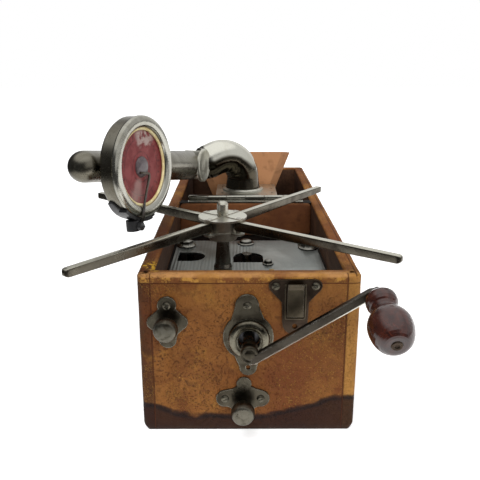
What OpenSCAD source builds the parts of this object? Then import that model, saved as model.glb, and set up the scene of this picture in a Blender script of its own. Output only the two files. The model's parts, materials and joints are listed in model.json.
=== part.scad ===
/* [Case] */
// Outside width of the case
case_w = 112; // [104:1:130]
// Outside length of the case
case_l = 290; // [280:1:330]
// Outside height of the case
case_h = 88; // [86:1:96]
// Thickness of the wooden side boards
board_t = 7; // [5:0.5:8]
// Thickness of the wooden floor
floor_t = 6; // [4:0.5:8]
// Thickness of the leather covering
leather_t = 1; // [0.6:0.1:1.4]
// Distance from the front face to the cross partition
partition_at = 148; // [144:1:154]
// Thickness of the cross partition
partition_t = 8; // [6:0.5:10]

/* [Motor] */
// Height of the motor plate's top above the table
plate_z = 70.5; // [68:0.5:72]
// Thickness of the motor plates
plate_t = 1.6; // [1.2:0.1:2]
// Gap between the motor plate and the case walls
plate_gap = 2; // [1:0.25:3]
// Distance from the front face to the back edge of the motor plate
plate_back = 112; // [110:1:116]
// Height of the lower motor plate's underside above the table
lower_plate_z = 19.5; // [19:0.5:21]
// Gear module of the going train
gear_module = 1; // [1:0.01:1.03]
// Teeth of the great wheel on the barrel
great_teeth = 54; // [52:1:56]
// Teeth of the second wheel
second_teeth = 45; // [44:1:46]
// Teeth of the two train pinions
pinion_teeth = 12; // [12:1:12]
// Teeth of the wheel that drives the governor
drive_teeth = 50; // [48:1:50]
// Teeth of the governor pinion
governor_teeth = 10; // [10:1:10]
// Height of the mainspring barrel
barrel_h = 20; // [17:0.5:21]

/* [Turntable] */
// Distance of the spindle to the left of the middle
spindle_left = 14.3; // [13.5:0.1:15.5]
// Distance from the front face to the spindle
spindle_back = 53.6; // [52:0.2:55]
// Height of the record plane above the table
record_z = 102.6; // [102:0.2:102.8]
// Reach of the folding arms from the spindle
arm_reach = 107.5; // [98:0.5:107.5]
// Width of an arm
arm_w = 4.2; // [3.4:0.1:5]
// Depth of an arm at its tip
arm_tip_d = 4.5; // [3.6:0.1:5]
// Depth of an arm at the hub
arm_root_d = 6.8; // [6:0.1:7.4]
// Bearing of the front right arm from the right-hand side
arm_bearing = -38; // [-40:1:-36]
// Radius of the turntable hub
hub_r = 8.6; // [8:0.1:8.8]
// Radius of the record pin
pin_r = 3.2; // [3:0.1:3.6]

/* [Winding] */
// Height of the winding shaft above the table
shaft_z = 54; // [53:0.25:55]
// Radius of the winding shaft
shaft_r = 3; // [2.6:0.1:3.2]
// Length of the crank from shaft to handle
crank_len = 68; // [60:0.5:72]
// Width of the crank bar
crank_w = 4.4; // [4:0.1:6]
// Thickness of the crank bar
crank_t = 3; // [2.4:0.1:3.6]
// Rest angle of the crank above the level
crank_angle = 28.9; // [20:0.1:32]
// Distance from the front face to the middle of the crank bar
crank_out = 17.5; // [16:0.5:20]
// Length of the wooden handle
handle_len = 32; // [28:0.5:36]
// Largest radius of the wooden handle
handle_r = 10.1; // [9.5:0.1:11.5]
// Radius of the handle's small end
handle_end_r = 7.4; // [6.6:0.1:8]
// Radius of the handle's waist
waist_r = 5.6; // [4.6:0.1:6.2]
// Downward lean of the handle
handle_lean = 17.5; // [8:0.5:20]
// Outward lean of the handle
handle_splay = 2; // [0:0.5:4]

/* [Tonearm] */
// Distance of the tonearm base to the left of the middle
base_left = 1.8; // [1:0.1:3]
// Distance from the front face to the tonearm base
base_back = 184; // [183:0.5:187]
// Outside radius of the gooseneck at its foot
neck_r = 13.4; // [12.8:0.1:13.6]
// Outside radius of the gooseneck at its end
neck_end_r = 11.8; // [11.4:0.1:12.2]
// Radius of the gooseneck's bend
neck_bend = 17; // [16.5:0.25:18]
// Height of the top of the gooseneck's axis above the table
neck_top = 117.4; // [116.8:0.2:120]
// Bearing of the gooseneck from the right-hand side
neck_bearing = 205.5; // [200:0.5:208]
// Downward slope of the gooseneck's end
neck_drop = 20; // [17:1:21]
// Wall of the tonearm tubes
tube_wall = 1; // [0.8:0.1:1.4]
// Length of the tone tube from elbow to dome
tube_len = 157; // [152:0.5:160]
// Bearing of the tone tube from the right-hand side
tube_bearing = 252.2; // [249:0.5:253]
// Upward slope of the tone tube
tube_rise = 9.6; // [9:0.2:11]
// Radius of the tone tube at the elbow
tube_r = 10.7; // [10.2:0.1:10.8]
// Radius of the tone tube at the dome
dome_r = 8.1; // [7.8:0.1:9]

/* [Soundbox] */
// Radius of the soundbox
box_r = 27; // [26:0.2:28]
// Thickness of the soundbox
box_t = 11; // [10:0.25:11.5]
// Place of the soundbox along the tone tube
box_along = 130.5; // [128:0.5:133]
// Distance from the tube's axis to the soundbox face
box_out = 23.2; // [21.5:0.2:24]
// Bearing of the soundbox face from straight ahead
box_bearing = 65.3; // [62:0.5:70]
// Upward tilt of the soundbox face
box_tilt = 3.5; // [2:0.5:6]

/* [Horn] */
// Height of the horn's mouth above the table
mouth_z = 116; // [110:1:120]
// Width of the horn's mouth
mouth_w = 78; // [70:1:82]
// Depth of the horn's mouth from front to back
mouth_d = 60; // [50:1:62]
// Distance from the front face to the middle of the horn's throat
throat_back = 224; // [222:0.5:228]
// Fall of the horn's mouth from front to back
mouth_fall = 14; // [8:1:18]
// Width of the horn's corner gussets
gusset_w = 6.5; // [5:0.5:7.5]
// Thickness of the horn's leather and card
horn_t = 1.5; // [1.2:0.1:2]

/* [Hidden] */
$fn = 64;

fit = 0.05;
seat = 0.3;
big = 400;

front_y = -case_l / 2;
wall = board_t + leather_t;
inner_w = case_w - 2 * wall;
spindle_x = -spindle_left;
spindle_y = front_y + spindle_back;
plate_under = plate_z - plate_t;
lower_plate_top = lower_plate_z + plate_t;
plate_front = front_y + wall + plate_gap;
plate_half = inner_w / 2 - plate_gap;
plate_rear = front_y + plate_back;
edge_r = 2;
bottom_r = 3.5;

function polar(r, a) = [r * cos(a), r * sin(a)];
function bearing_vector(a, slope) = [cos(a) * cos(slope), sin(a) * cos(slope), sin(slope)];

// A ring or disc whose axis is vertical, between two heights
module ring_z(r, bore, z0, z1) {
    translate([0, 0, z0])
        linear_extrude(z1 - z0)
            difference() {
                circle(r);
                if (bore > 0) circle(bore);
            }
}

// Puts a flat drawing on the front face, with its height outwards
module on_front(x, z) {
    translate([x, front_y, z]) rotate([90, 0, 0]) children();
}

// A rod that runs from front to back
module rod_y(x, z, r, y0, y1) {
    translate([x, y0, z]) rotate([-90, 0, 0]) cylinder(h = y1 - y0, r = r);
}

// The outer form of the covered case, grown or shrunk by an amount
module case_form(shrink, z0, z1) {
    intersection() {
        translate([0, 0, z0])
            linear_extrude(z1 - z0)
                rounded_rect(case_w - 2 * shrink, case_l - 2 * shrink, edge_r);
        translate([0, case_l / 2 + 1, 0])
            rotate([90, 0, 0])
                linear_extrude(case_l + 2)
                    difference() {
                        translate([-case_w / 2 + shrink, 0]) square([case_w - 2 * shrink, case_h]);
                        for (side = [-1, 1])
                            translate([side * (case_w / 2 - shrink), 0])
                                mirror([side > 0 ? 0 : 1, 0])
                                    translate([-bottom_r, 0])
                                        difference() {
                                            translate([0, -1]) square([bottom_r + 1, bottom_r + 1]);
                                            translate([0, bottom_r]) circle(bottom_r);
                                        }
                    }
    }
}

// Points of an arc round c, from one angle to another
function arc(c, r, from, to) = [for (i = [0:9]) c + r * [cos(from + (to - from) * i / 9), sin(from + (to - from) * i / 9)]];

module rounded_rect(w, l, r) {
    union() {
        square([w - 2 * r, l], center = true);
        square([w, l - 2 * r], center = true);
        for (sx = [-1, 1])
            for (sy = [-1, 1])
                translate([sx * (w / 2 - r), sy * (l / 2 - r)]) circle(r);
    }
}

/* Case */

board_top = case_h - leather_t;
front_board_y = front_y + leather_t;
winding_hole_r = 5.6;
knob_shaft_r = 1.6;
knob_hole_r = 2;

module front_board() {
    color("peru")
        difference() {
            translate([-inner_w / 2, front_board_y, floor_t])
                cube([inner_w, board_t, board_top - floor_t]);
            rod_y(0, shaft_z, winding_hole_r, front_y, front_y + wall + 1);
            rod_y(speed_x, speed_z, knob_hole_r, front_y, front_y + wall + 1);
            rod_y(brake_x, brake_z, knob_hole_r, front_y, front_y + wall + 1);
        }
}

module back_board() {
    color("peru")
        translate([-inner_w / 2, -front_board_y - board_t, floor_t])
            cube([inner_w, board_t, board_top - floor_t]);
}

module side_board(side) {
    color("peru")
        translate([side * (inner_w + board_t) / 2 - board_t / 2, front_board_y, floor_t])
            cube([board_t, case_l - 2 * leather_t, board_top - floor_t]);
}

module floor_board() {
    color("burlywood") case_form(leather_t, 0, floor_t);
}

partition_y = front_y + partition_at;

module partition_board() {
    color("peru")
        translate([-inner_w / 2, partition_y, floor_t])
            cube([inner_w, partition_t, case_h - floor_t]);
}

// Thin leather skin over the outside and the rim of the boards
module leather_cover() {
    color("chocolate")
        difference() {
            case_form(0, 0, case_h);
            translate([0, 0, -1]) case_form(leather_t, 0, floor_t + 1);
            translate([-case_w / 2 + leather_t, front_board_y, floor_t])
                cube([case_w - 2 * leather_t, case_l - 2 * leather_t, board_top - floor_t]);
            translate([-inner_w / 2, front_y + wall, floor_t])
                cube([inner_w, case_l - 2 * wall, case_h]);
            rod_y(0, shaft_z, winding_hole_r, front_y - 1, front_y + wall);
            rod_y(speed_x, speed_z, knob_hole_r, front_y - 1, front_y + wall);
            rod_y(brake_x, brake_z, knob_hole_r, front_y - 1, front_y + wall);
        }
}

facing_t = 1;
facing_h = 24;

module partition_facing() {
    color("sienna")
        translate([0, partition_y, case_h - facing_h / 2 - seat])
            rotate([90, 0, 0])
                linear_extrude(facing_t)
                    rounded_rect(inner_w - 2 * seat, facing_h, 3);
}

bearer_w = 4;
bearer_h = 14;

// Two wooden strips on the side walls that carry the motor plate
module motor_bearers() {
    color("burlywood")
        for (side = [-1, 1])
            translate([side * (inner_w / 2 - bearer_w / 2) - bearer_w / 2, plate_front, plate_under - bearer_h])
                cube([bearer_w, plate_rear - plate_front, bearer_h]);
}

/* Motor frame */

slot_w = 17;
slot_x0 = -43;
slot_x1 = -26.3;
slot_y = front_y + 79;
dee_x = 0.8;
dee_y = front_y + 68;
dee_w = 18.5;
dee_l = 19.5;
post_foot_r = 5.4;
spindle_r = 2.2;
pillar_r = 2.5;
pillar_spots = [[-plate_half + 12, plate_front + 4.5], [plate_half - 12, plate_front + 4.5], [-plate_half + 9, plate_rear - 9], [plate_half - 9, plate_rear - 9]];
screw_spots = [[-plate_half + 3.2, plate_rear - 11], [plate_half - 3.2, plate_rear - 17], [-plate_half + 3.2, plate_front + 22], [plate_half - 3.2, plate_front + 22]];

module motor_plate_outline() {
    translate([-plate_half, plate_front]) square([2 * plate_half, plate_rear - plate_front]);
}

module access_slots() {
    translate([slot_x0, slot_y - slot_w / 2]) square([slot_x1 - slot_x0 - slot_w / 2, slot_w]);
    translate([slot_x1 - slot_w / 2, slot_y]) circle(slot_w / 2);
    translate([dee_x - dee_w / 2, dee_y]) square([dee_w, dee_l / 2]);
    intersection() {
        translate([dee_x, dee_y + dee_l / 2]) scale([1, 1]) circle(dee_w / 2);
        translate([dee_x - dee_w / 2, dee_y + dee_l / 2]) square([dee_w, dee_l / 2]);
    }
}

module motor_plate() {
    color("lightslategray")
        translate([0, 0, plate_under])
            linear_extrude(plate_t)
                difference() {
                    motor_plate_outline();
                    access_slots();
                    translate([spindle_x, spindle_y]) circle(spindle_r + fit + 1);
                    translate([barrel_x, barrel_y]) circle(arbor_r + fit);
                    translate([second_x, second_y]) circle(pivot_r + fit);
                    translate([governor_x, governor_y]) circle(pivot_r + fit);
                }
}

module motor_lower_plate() {
    color("slategray")
        translate([0, 0, lower_plate_z])
            linear_extrude(plate_t)
                difference() {
                    motor_plate_outline();
                    translate([spindle_x, spindle_y]) circle(spindle_r + fit);
                    translate([barrel_x, barrel_y]) circle(arbor_r + fit);
                    translate([second_x, second_y]) circle(pivot_r + fit);
                    translate([governor_x, governor_y]) circle(pivot_r + fit);
                }
}

// Four turned pillars that join the two motor plates, and the pivots of the two levers
module motor_pillars() {
    color("silver") {
        translate([lever_pin[0], lever_pin[1], lever_z - 1.4]) cylinder(h = plate_under - lever_z + 1.4, r = pivot_r);
        translate([lever_pin[0], lever_pin[1], lever_z - 1.4]) cylinder(h = 1.1, r = 2.4);
        translate([brake_pin[0], brake_pin[1], brake_lever_z - 1.4]) cylinder(h = lower_plate_z - brake_lever_z + 1.4, r = pivot_r);
        translate([brake_pin[0], brake_pin[1], brake_lever_z - 1.4]) cylinder(h = 1.1, r = 2.4);
        for (spot = pillar_spots)
            translate([spot[0], spot[1], 0])
                rotate_extrude()
                    polygon([
                        [0, lower_plate_top], [pillar_r + 1, lower_plate_top], [pillar_r + 1, lower_plate_top + 3],
                        [pillar_r, lower_plate_top + 4], [pillar_r, plate_under - 4],
                        [pillar_r + 1, plate_under - 3], [pillar_r + 1, plate_under], [0, plate_under]
                    ]);
    }
}

// Slotted screws and one nut that hold the motor plate
module motor_plate_screws() {
    color("gainsboro") {
        for (spot = concat(screw_spots, pillar_spots))
            translate([spot[0], spot[1], plate_z])
                difference() {
                    rotate_extrude() polygon([[0, 0], [2.9, 0], [2.9, 1], [1.8, 1.8], [0, 1.9]]);
                    translate([-4, -0.35, 1.1]) cube([8, 0.7, 2]);
                }
    }
}

post_top = 90;
post_r0 = 4.6;
post_r1 = 3.5;

// Tapered bush that guides the spindle above the motor plate
module spindle_bush() {
    color("silver")
        translate([spindle_x, spindle_y, 0])
            rotate_extrude()
                polygon([
                    [spindle_r + fit, plate_z], [post_foot_r, plate_z], [post_foot_r, plate_z + 3],
                    [post_r0 + 0.4, plate_z + 4], [post_r0, plate_z + 5],
                    [post_r1, post_top], [spindle_r + fit, post_top]
                ]);
}

/* Gear train */

gear_clear = 0.15;

// Flat wheel with slim tapered teeth; a tooth is narrower than its space, so that pairs run free
module gear_outline(teeth, m, phase) {
    pitch_r = teeth * m / 2;
    root_r = pitch_r - 1.15 * m;
    tip_r = pitch_r + 0.85 * m;
    step = 360 / teeth;
    circle(root_r);
    for (i = [0:teeth - 1])
        rotate(phase + i * step)
            polygon([
                [root_r - 0.4, -root_r * sin(step * 0.27)], [pitch_r, -pitch_r * sin(step * 0.19)],
                [tip_r, -tip_r * sin(step * 0.08)], [tip_r, tip_r * sin(step * 0.08)],
                [pitch_r, pitch_r * sin(step * 0.19)], [root_r - 0.4, root_r * sin(step * 0.27)]
            ]);
}

module gear(teeth, phase, bore, z0, z1) {
    translate([0, 0, z0])
        linear_extrude(z1 - z0)
            difference() {
                gear_outline(teeth, gear_module, phase);
                if (bore > 0) circle(bore);
            }
}

arbor_r = 3;
pivot_r = 1.5;
barrel_x = 0;
barrel_y = front_y + 85;
great_r = great_teeth * gear_module / 2;
second_r = second_teeth * gear_module / 2;
pinion_r = pinion_teeth * gear_module / 2;
drive_r = drive_teeth * gear_module / 2;
governor_r = governor_teeth * gear_module / 2;

// The second arbor stands where both of its gears reach their pitch circles
barrel_reach = great_r + pinion_r + gear_clear;
spindle_reach = second_r + pinion_r + gear_clear;
span_x = spindle_x - barrel_x;
span_y = spindle_y - barrel_y;
span = sqrt(span_x * span_x + span_y * span_y);
along = (barrel_reach * barrel_reach - spindle_reach * spindle_reach + span * span) / (2 * span);
aside = sqrt(barrel_reach * barrel_reach - along * along);
second_x = barrel_x + (span_x * along - span_y * aside) / span;
second_y = barrel_y + (span_y * along + span_x * aside) / span;

governor_bearing = 250;
governor_reach = drive_r + governor_r + gear_clear;
governor_x = spindle_x + governor_reach * cos(governor_bearing);
governor_y = spindle_y + governor_reach * sin(governor_bearing);

// Phases that put a tooth of one gear into a space of the other
function mesh_phase(from_angle, teeth) = from_angle + 180 + 180 / teeth;
barrel_to_second = atan2(second_y - barrel_y, second_x - barrel_x);
second_to_spindle = atan2(spindle_y - second_y, spindle_x - second_x);

barrel_z0 = lower_plate_top + 1.5;
barrel_z1 = barrel_z0 + barrel_h;
great_t = 3;
barrel_out_r = great_r - 3;
barrel_wall = 1.5;

// Mainspring barrel with its cover, and the great wheel round its upper edge
module spring_barrel() {
    color("goldenrod")
        translate([barrel_x, barrel_y, 0])
            union() {
                ring_z(barrel_out_r, arbor_r + fit, barrel_z0, barrel_z0 + barrel_wall);
                ring_z(barrel_out_r, barrel_out_r - barrel_wall, barrel_z0, barrel_z1);
                ring_z(barrel_out_r, arbor_r + fit, barrel_z1 - barrel_wall, barrel_z1);
                gear(great_teeth, barrel_to_second, barrel_out_r - 0.5, barrel_z1 - great_t, barrel_z1);
            }
}

spring_turns = 7;
spring_t = 0.9;
spring_steps = 24;

// Flat spiral spring between the arbor and the barrel wall
module mainspring() {
    r0 = arbor_r + 1.2;
    r1 = barrel_out_r - barrel_wall - spring_t - seat;
    count = spring_turns * spring_steps;
    inner = [for (i = [0:count]) polar(r0 + (r1 - r0) * i / count, 360 * i / spring_steps)];
    outer = [for (i = [count:-1:0]) polar(r0 + spring_t + (r1 - r0) * i / count, 360 * i / spring_steps)];
    color("dimgray")
        translate([barrel_x, barrel_y, barrel_z0 + barrel_wall + seat])
            linear_extrude(barrel_h - 2 * barrel_wall - 2 * seat)
                polygon(concat(inner, outer));
}

crown_teeth = 22;
bevel_teeth = 10;
bevel_r = 5;
crown_r = crown_teeth * bevel_r / bevel_teeth;
crown_z = shaft_z - bevel_r;
crown_face = 3;

// Arbor that winds the spring, with the crown wheel and ratchet above the barrel
module barrel_arbor() {
    color("silver")
        translate([barrel_x, barrel_y, 0])
            union() {
                ring_z(arbor_r, 0, lower_plate_z, plate_z);
                ring_z(crown_r + crown_face / 2, 0, crown_z - 3.6, crown_z - 1.3);
                for (i = [0:crown_teeth - 1])
                    rotate((i + 0.5) * 360 / crown_teeth + 90)
                        translate([crown_r - crown_face / 2, 0, crown_z - 1.4])
                            rotate([90, 0, 90])
                                linear_extrude(crown_face)
                                    polygon([[-0.75, 0], [-0.3, 2.1], [0.3, 2.1], [0.75, 0]]);
            }
}

second_wheel_z = shaft_z + bevel_r + 1.4;
second_pinion_z0 = barrel_z1 - great_t - 1;
second_pinion_z1 = barrel_z1 + 0.6;
wheel_t = 2;

// Second arbor with its pinion and the second wheel
module second_wheel() {
    color("gold")
        translate([second_x, second_y, 0])
            union() {
                ring_z(pivot_r, 0, lower_plate_z, plate_z);
                ring_z(2.2, 0, lower_plate_top + 0.4, second_wheel_z + wheel_t);
                gear(pinion_teeth, mesh_phase(barrel_to_second, pinion_teeth), 0, second_pinion_z0, second_pinion_z1);
                gear(second_teeth, second_to_spindle, 0, second_wheel_z, second_wheel_z + wheel_t);
            }
}

drum_r = 7;
drum_z0 = 12.6;
drum_z1 = lower_plate_z - 0.6;
drive_z = second_wheel_z + wheel_t + 1.6;
pin_top = record_z + 9.9;
hub_z0 = post_top + 0.5;

// Spindle with pinion, governor wheel, brake drum and the record pin on top
module spindle() {
    color("whitesmoke")
        translate([spindle_x, spindle_y, 0])
            union() {
                ring_z(spindle_r, 0, drum_z0, hub_z0 + 1);
                ring_z(drum_r, 0, drum_z0, drum_z1);
                gear(pinion_teeth, mesh_phase(second_to_spindle, pinion_teeth), 0, second_wheel_z - 0.8, second_wheel_z + wheel_t + 0.8);
                gear(drive_teeth, governor_bearing, 0, drive_z, drive_z + wheel_t);
                rotate_extrude()
                    polygon([
                        [0, hub_z0 + 1], [pin_r, hub_z0 + 1], [pin_r, record_z + 1.9], [pin_r - 0.5, record_z + 2.2],
                        [pin_r - 0.5, record_z + 2.7], [pin_r, record_z + 3], [pin_r, pin_top - 1.6],
                        [pin_r - 0.6, pin_top - 0.7], [pin_r - 1.6, pin_top - 0.15], [0, pin_top]
                    ]);
            }
}

/* Turntable */

pivot_at = 11.5;
boss_r = 2.6;
rivet_r = 1.5;
lug_r = 3.4;
cap_t = 1.2;
cap_z = record_z + 0.1;
lug_z = record_z - arm_root_d - 0.1;
lug_t = 0.9;
arm_bearings = [for (i = [0:3]) arm_bearing + 90 * i];

module lobed_outline(hole) {
    difference() {
        union() {
            circle(hub_r + 0.8);
            for (a = arm_bearings)
                rotate(a) {
                    translate([0, -lug_r]) square([pivot_at, 2 * lug_r]);
                    translate([pivot_at, 0]) circle(lug_r);
                }
        }
        circle(pin_r);
        for (a = arm_bearings) rotate(a) translate([pivot_at, 0]) circle(hole);
    }
}

cap_r = pivot_at + lug_r - 1.1;
rib_w = 3.4;
rib_t = 0.4;

// Round cap over the roots of the arms, with a low rib in line with each arm
module hub_cap() {
    difference() {
        union() {
            ring_z(cap_r, pin_r, cap_z, cap_z + cap_t);
            for (a = arm_bearings)
                rotate(a) translate([pin_r + 0.5, -rib_w / 2, cap_z + cap_t - 0.5]) cube([cap_r - pin_r - 0.75, rib_w, rib_t + 0.5]);
        }
        for (a = arm_bearings) rotate(a) translate([pivot_at, 0, cap_z - 1]) cylinder(h = cap_t + 3, r = rivet_r);
    }
}

// Hub with a lobed plate under the arms and a round cap over them
module turntable_hub() {
    color("silver")
        translate([spindle_x, spindle_y, 0])
            union() {
                translate([0, 0, hub_z0])
                    linear_extrude(1)
                        difference() {
                            circle(hub_r - 0.6);
                            circle(spindle_r);
                        }
                ring_z(hub_r, pin_r, hub_z0 + 1, cap_z + 0.5);
                translate([0, 0, lug_z - lug_t]) linear_extrude(lug_t) lobed_outline(rivet_r);
                hub_cap();
            }
}

// Four rivets on which the arms fold
module arm_rivets() {
    color("white")
        translate([spindle_x, spindle_y, 0])
            for (a = arm_bearings)
                rotate(a)
                    translate([pivot_at, 0, 0])
                        rotate_extrude()
                            polygon([
                                [0, lug_z - lug_t - 0.7], [1.8, lug_z - lug_t - 0.7], [2.1, lug_z - lug_t], [rivet_r, lug_z - lug_t],
                                [rivet_r, cap_z + cap_t + rib_t], [0, cap_z + cap_t + rib_t + 0.1]
                            ]);
}

arm_len = arm_reach - pivot_at;
tip_cut = 1.6;

// One folding arm: a deep bar that tapers towards its bevelled tip
module folding_arm(bearing) {
    color("silver")
        translate([spindle_x, spindle_y, 0])
            rotate(bearing)
                translate([pivot_at, 0, 0])
                    difference() {
                        union() {
                            ring_z(boss_r, 0, record_z - arm_root_d, record_z);
                            translate([0, arm_w / 2, 0])
                                rotate([90, 0, 0])
                                    linear_extrude(arm_w)
                                        polygon([
                                            [0, record_z - arm_root_d], [arm_len - tip_cut, record_z - arm_tip_d],
                                            [arm_len, record_z - arm_tip_d + tip_cut], [arm_len, record_z - 0.6],
                                            [arm_len - 0.6, record_z], [0, record_z]
                                        ]);
                        }
                        ring_z(rivet_r + fit, 0, record_z - arm_root_d - 1, record_z + 1);
                    }
}

/* Governor */

gov_disc_z = 52;
gov_disc_r = 9;
weight_z = 39;
weight_at = 8;
weight_w = 5;

// Upright governor shaft with its pinion, sliding brake disc and lower collar
module governor_shaft() {
    color("silver")
        translate([governor_x, governor_y, 0])
            union() {
                ring_z(pivot_r, 0, lower_plate_z, plate_z);
                gear(governor_teeth, mesh_phase(governor_bearing, governor_teeth), 0, drive_z - 0.8, drive_z + wheel_t + 0.8);
                ring_z(gov_disc_r, 0, gov_disc_z, gov_disc_z + 1.6);
                ring_z(3.2, 0, gov_disc_z - 4, gov_disc_z);
                ring_z(3.2, 0, weight_z - 13, weight_z - 9);
            }
}

// Three leaf springs with a weight on the middle of each
module governor_weights() {
    color("goldenrod")
        translate([governor_x, governor_y, 0])
            for (i = [0:2])
                rotate(120 * i) {
                    translate([0, 1.5, 0])
                        rotate([90, 0, 0])
                            linear_extrude(3)
                                polygon([
                                    [3.2, weight_z - 12], [3.2, weight_z - 9.6], [weight_at - 2, weight_z - 2.5],
                                    [weight_at - 2, weight_z + 2.5], [3.2, gov_disc_z - 3], [3.2, gov_disc_z - 0.8],
                                    [3.9, gov_disc_z - 0.8], [weight_at - 1.2, weight_z + 3], [weight_at - 1.2, weight_z - 3],
                                    [3.9, weight_z - 12]
                                ]);
                    translate([weight_at - 1.4, 0, weight_z])
                        rotate([0, 90, 0])
                            cylinder(h = 3, r = weight_w / 2);
                }
}

/* Speed control */

speed_x = -41.2;
speed_z = 62.6;
knob_out = 12;
speed_knob_r = 4.9;
speed_tip_y = front_y + 21;
lever_t = 1.6;
lever_z = gov_disc_z;
cam_r = 2.6;
cam_off = 0.8;
lever_pin = [speed_x + 4.2, governor_y + 6];
lever_tab = [speed_x + cam_off + cam_r + seat + 0.8, speed_tip_y - 1.6];

// Knurled knob with a domed face, drawn with its outer face at the given distance
module knurled_knob(r, z0, z1, ribs) {
    translate([0, 0, z0])
        linear_extrude(z1 - z0 - 1.4)
            difference() {
                circle(r);
                for (i = [0:ribs - 1])
                    rotate(360 * i / ribs)
                        translate([r, 0])
                            circle(r * 0.11, $fn = 4);
            }
    translate([0, 0, z1 - 1.4])
        cylinder(h = 1.4, r1 = r - 0.5, r2 = r - 1.6);
}

module speed_knob() {
    color("silver") {
        on_front(speed_x, speed_z) {
            union() {
                knurled_knob(speed_knob_r, 6, knob_out, 24);
                translate([0, 0, 1.2 + seat]) cylinder(h = 6, r = 3);
                translate([0, 0, -(speed_tip_y - front_y)])
                    cylinder(h = speed_tip_y - front_y + 4, r = knob_shaft_r);
                translate([cam_off, 0, -(speed_tip_y - front_y)]) cylinder(h = 3.2, r = cam_r);
            }
        }
    }
}

// Lever with an upright tab beside the cam and a felt nose beside the governor disc
module speed_lever() {
    nose = [governor_x - gov_disc_r - 2.2, governor_y + 0.6];
    color("dimgray")
        difference() {
            union() {
                translate([0, 0, lever_z])
                    linear_extrude(lever_t)
                        union() {
                            translate(lever_pin) circle(2.8);
                            strip(lever_pin, lever_tab, 1.8);
                            strip(lever_pin, nose, 2.2);
                            translate(nose) circle(1.5);
                        }
                translate([lever_tab[0] - 0.8, lever_tab[1] - 1.2, lever_z])
                    cube([1.6, 2.4, speed_z + 1.4 - lever_z]);
                translate([lever_pin[0], lever_pin[1], lever_z]) cylinder(h = 4, r = 2.2);
            }
            translate([lever_pin[0], lever_pin[1], 0]) cylinder(h = 100, r = pivot_r + fit);
        }
}

// A flat strip of one width between two points
module strip(a, b, w) {
    dx = b[0] - a[0];
    dy = b[1] - a[1];
    translate(a)
        rotate(atan2(dy, dx))
            translate([0, -w / 2])
                square([sqrt(dx * dx + dy * dy), w]);
}

/* Front fittings */

fitting_t = 1.2;
speed_plate_h = 28;
speed_plate_w = 20.7;
speed_screw_z = 72.2;

module speed_knob_plate() {
    color("gray")
        on_front(speed_x, 0)
            linear_extrude(fitting_t)
                difference() {
                    translate([0, speed_z])
                        polygon(concat(
                            arc([speed_plate_w / 2 - 4, 0.4], 4, -62, 62), [[5.4, 6.6]],
                            arc([0, speed_screw_z - speed_z], 4.8, -25, 205), [[-5.4, 6.6]],
                            arc([4 - speed_plate_w / 2, 0.4], 4, 118, 242), [[-5.2, -5.8]],
                            arc([0, -9.2], 4.4, 170, 370), [[5.2, -5.8]]
                        ));
                    translate([0, speed_z]) circle(knob_hole_r);
                }
}

escutcheon_r = 12.8;
escutcheon_top = 72.1;
escutcheon_low = 37.8;
collar_r = 10.4;

module winding_escutcheon() {
    color("gray")
        on_front(0, 0)
            union() {
                linear_extrude(fitting_t)
                    difference() {
                        union() {
                            translate([-0.4, shaft_z + 1]) circle(escutcheon_r);
                            translate([-1, escutcheon_top]) circle(6);
                            translate([-0.4, escutcheon_low]) circle(4.4);
                            polygon([[-6.9, escutcheon_top], [4.9, escutcheon_top], [8.6, shaft_z + 8], [-9.6, shaft_z + 8]]);
                            polygon([[-4.7, escutcheon_low], [3.9, escutcheon_low], [8, shaft_z - 6], [-8.8, shaft_z - 6]]);
                        }
                        translate([0, shaft_z]) circle(winding_hole_r);
                        translate([-0.4, escutcheon_low]) circle(1.3);
                    }
                translate([0, shaft_z, 0])
                    rotate_extrude()
                        polygon([
                            [winding_hole_r, fitting_t], [collar_r, fitting_t], [collar_r, fitting_t + 0.9],
                            [collar_r - 0.8, fitting_t + 1.6], [collar_r - 2.2, fitting_t + 1.6],
                            [collar_r - 2.8, fitting_t + 2.6], [winding_hole_r + 0.5, fitting_t + 2.8], [winding_hole_r, fitting_t + 2.4]
                        ]);
            }
}

module winding_bush() {
    color("darkgoldenrod")
        rotate([0, 0, 0])
            translate([0, 0, shaft_z])
                rotate([90, 0, 0])
                    translate([0, 0, -front_y - wall - 3])
                        linear_extrude(wall + 3 - 2)
                            difference() {
                                circle(winding_hole_r);
                                circle(shaft_r + fit);
                            }
}

catch_x = 23;
catch_top = 86;
catch_low = 56.7;
catch_w = 13.5;
ear_z = 82.6;
ear_out = 9.9;

module catch_plate() {
    color("darkkhaki")
        on_front(catch_x, 0)
            linear_extrude(fitting_t)
                difference() {
                    polygon(concat(
                        arc([ear_out, ear_z], catch_top - ear_z, -35, 90), arc([-ear_out, ear_z], catch_top - ear_z, 90, 215),
                        [[-catch_w / 2, catch_top - 12]], arc([0, catch_low + 6], catch_w / 2 - 0.4, 180, 360),
                        [[catch_w / 2, catch_top - 12]]
                    ));
                    translate([0, catch_low + 4.2]) circle(1.4);
                }
}

tongue_w = 8;
tongue_low = 66.6;
tongue_top = 84.4;

// Spring tongue over the catch plate, hinged on its lower curl, with a bent top edge
module catch_tongue() {
    color("silver")
        translate([catch_x - tongue_w / 2, front_y, 0])
            rotate([90, 0, 90])
                linear_extrude(tongue_w)
                    polygon([
                        [-fitting_t - seat, tongue_low], [-fitting_t - seat, tongue_top - 2.4], [-fitting_t - 2.4, tongue_top],
                        [-fitting_t - 3.6, tongue_top - 0.3], [-fitting_t - 1.6, tongue_top - 3.2], [-fitting_t - 1.6, tongue_low]
                    ]);
}

brake_x = -3.1;
brake_z = 15.9;
brake_knob_r = 5.7;
brake_screw_z = 19.6;
brake_tip_y = front_y + 24;

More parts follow.
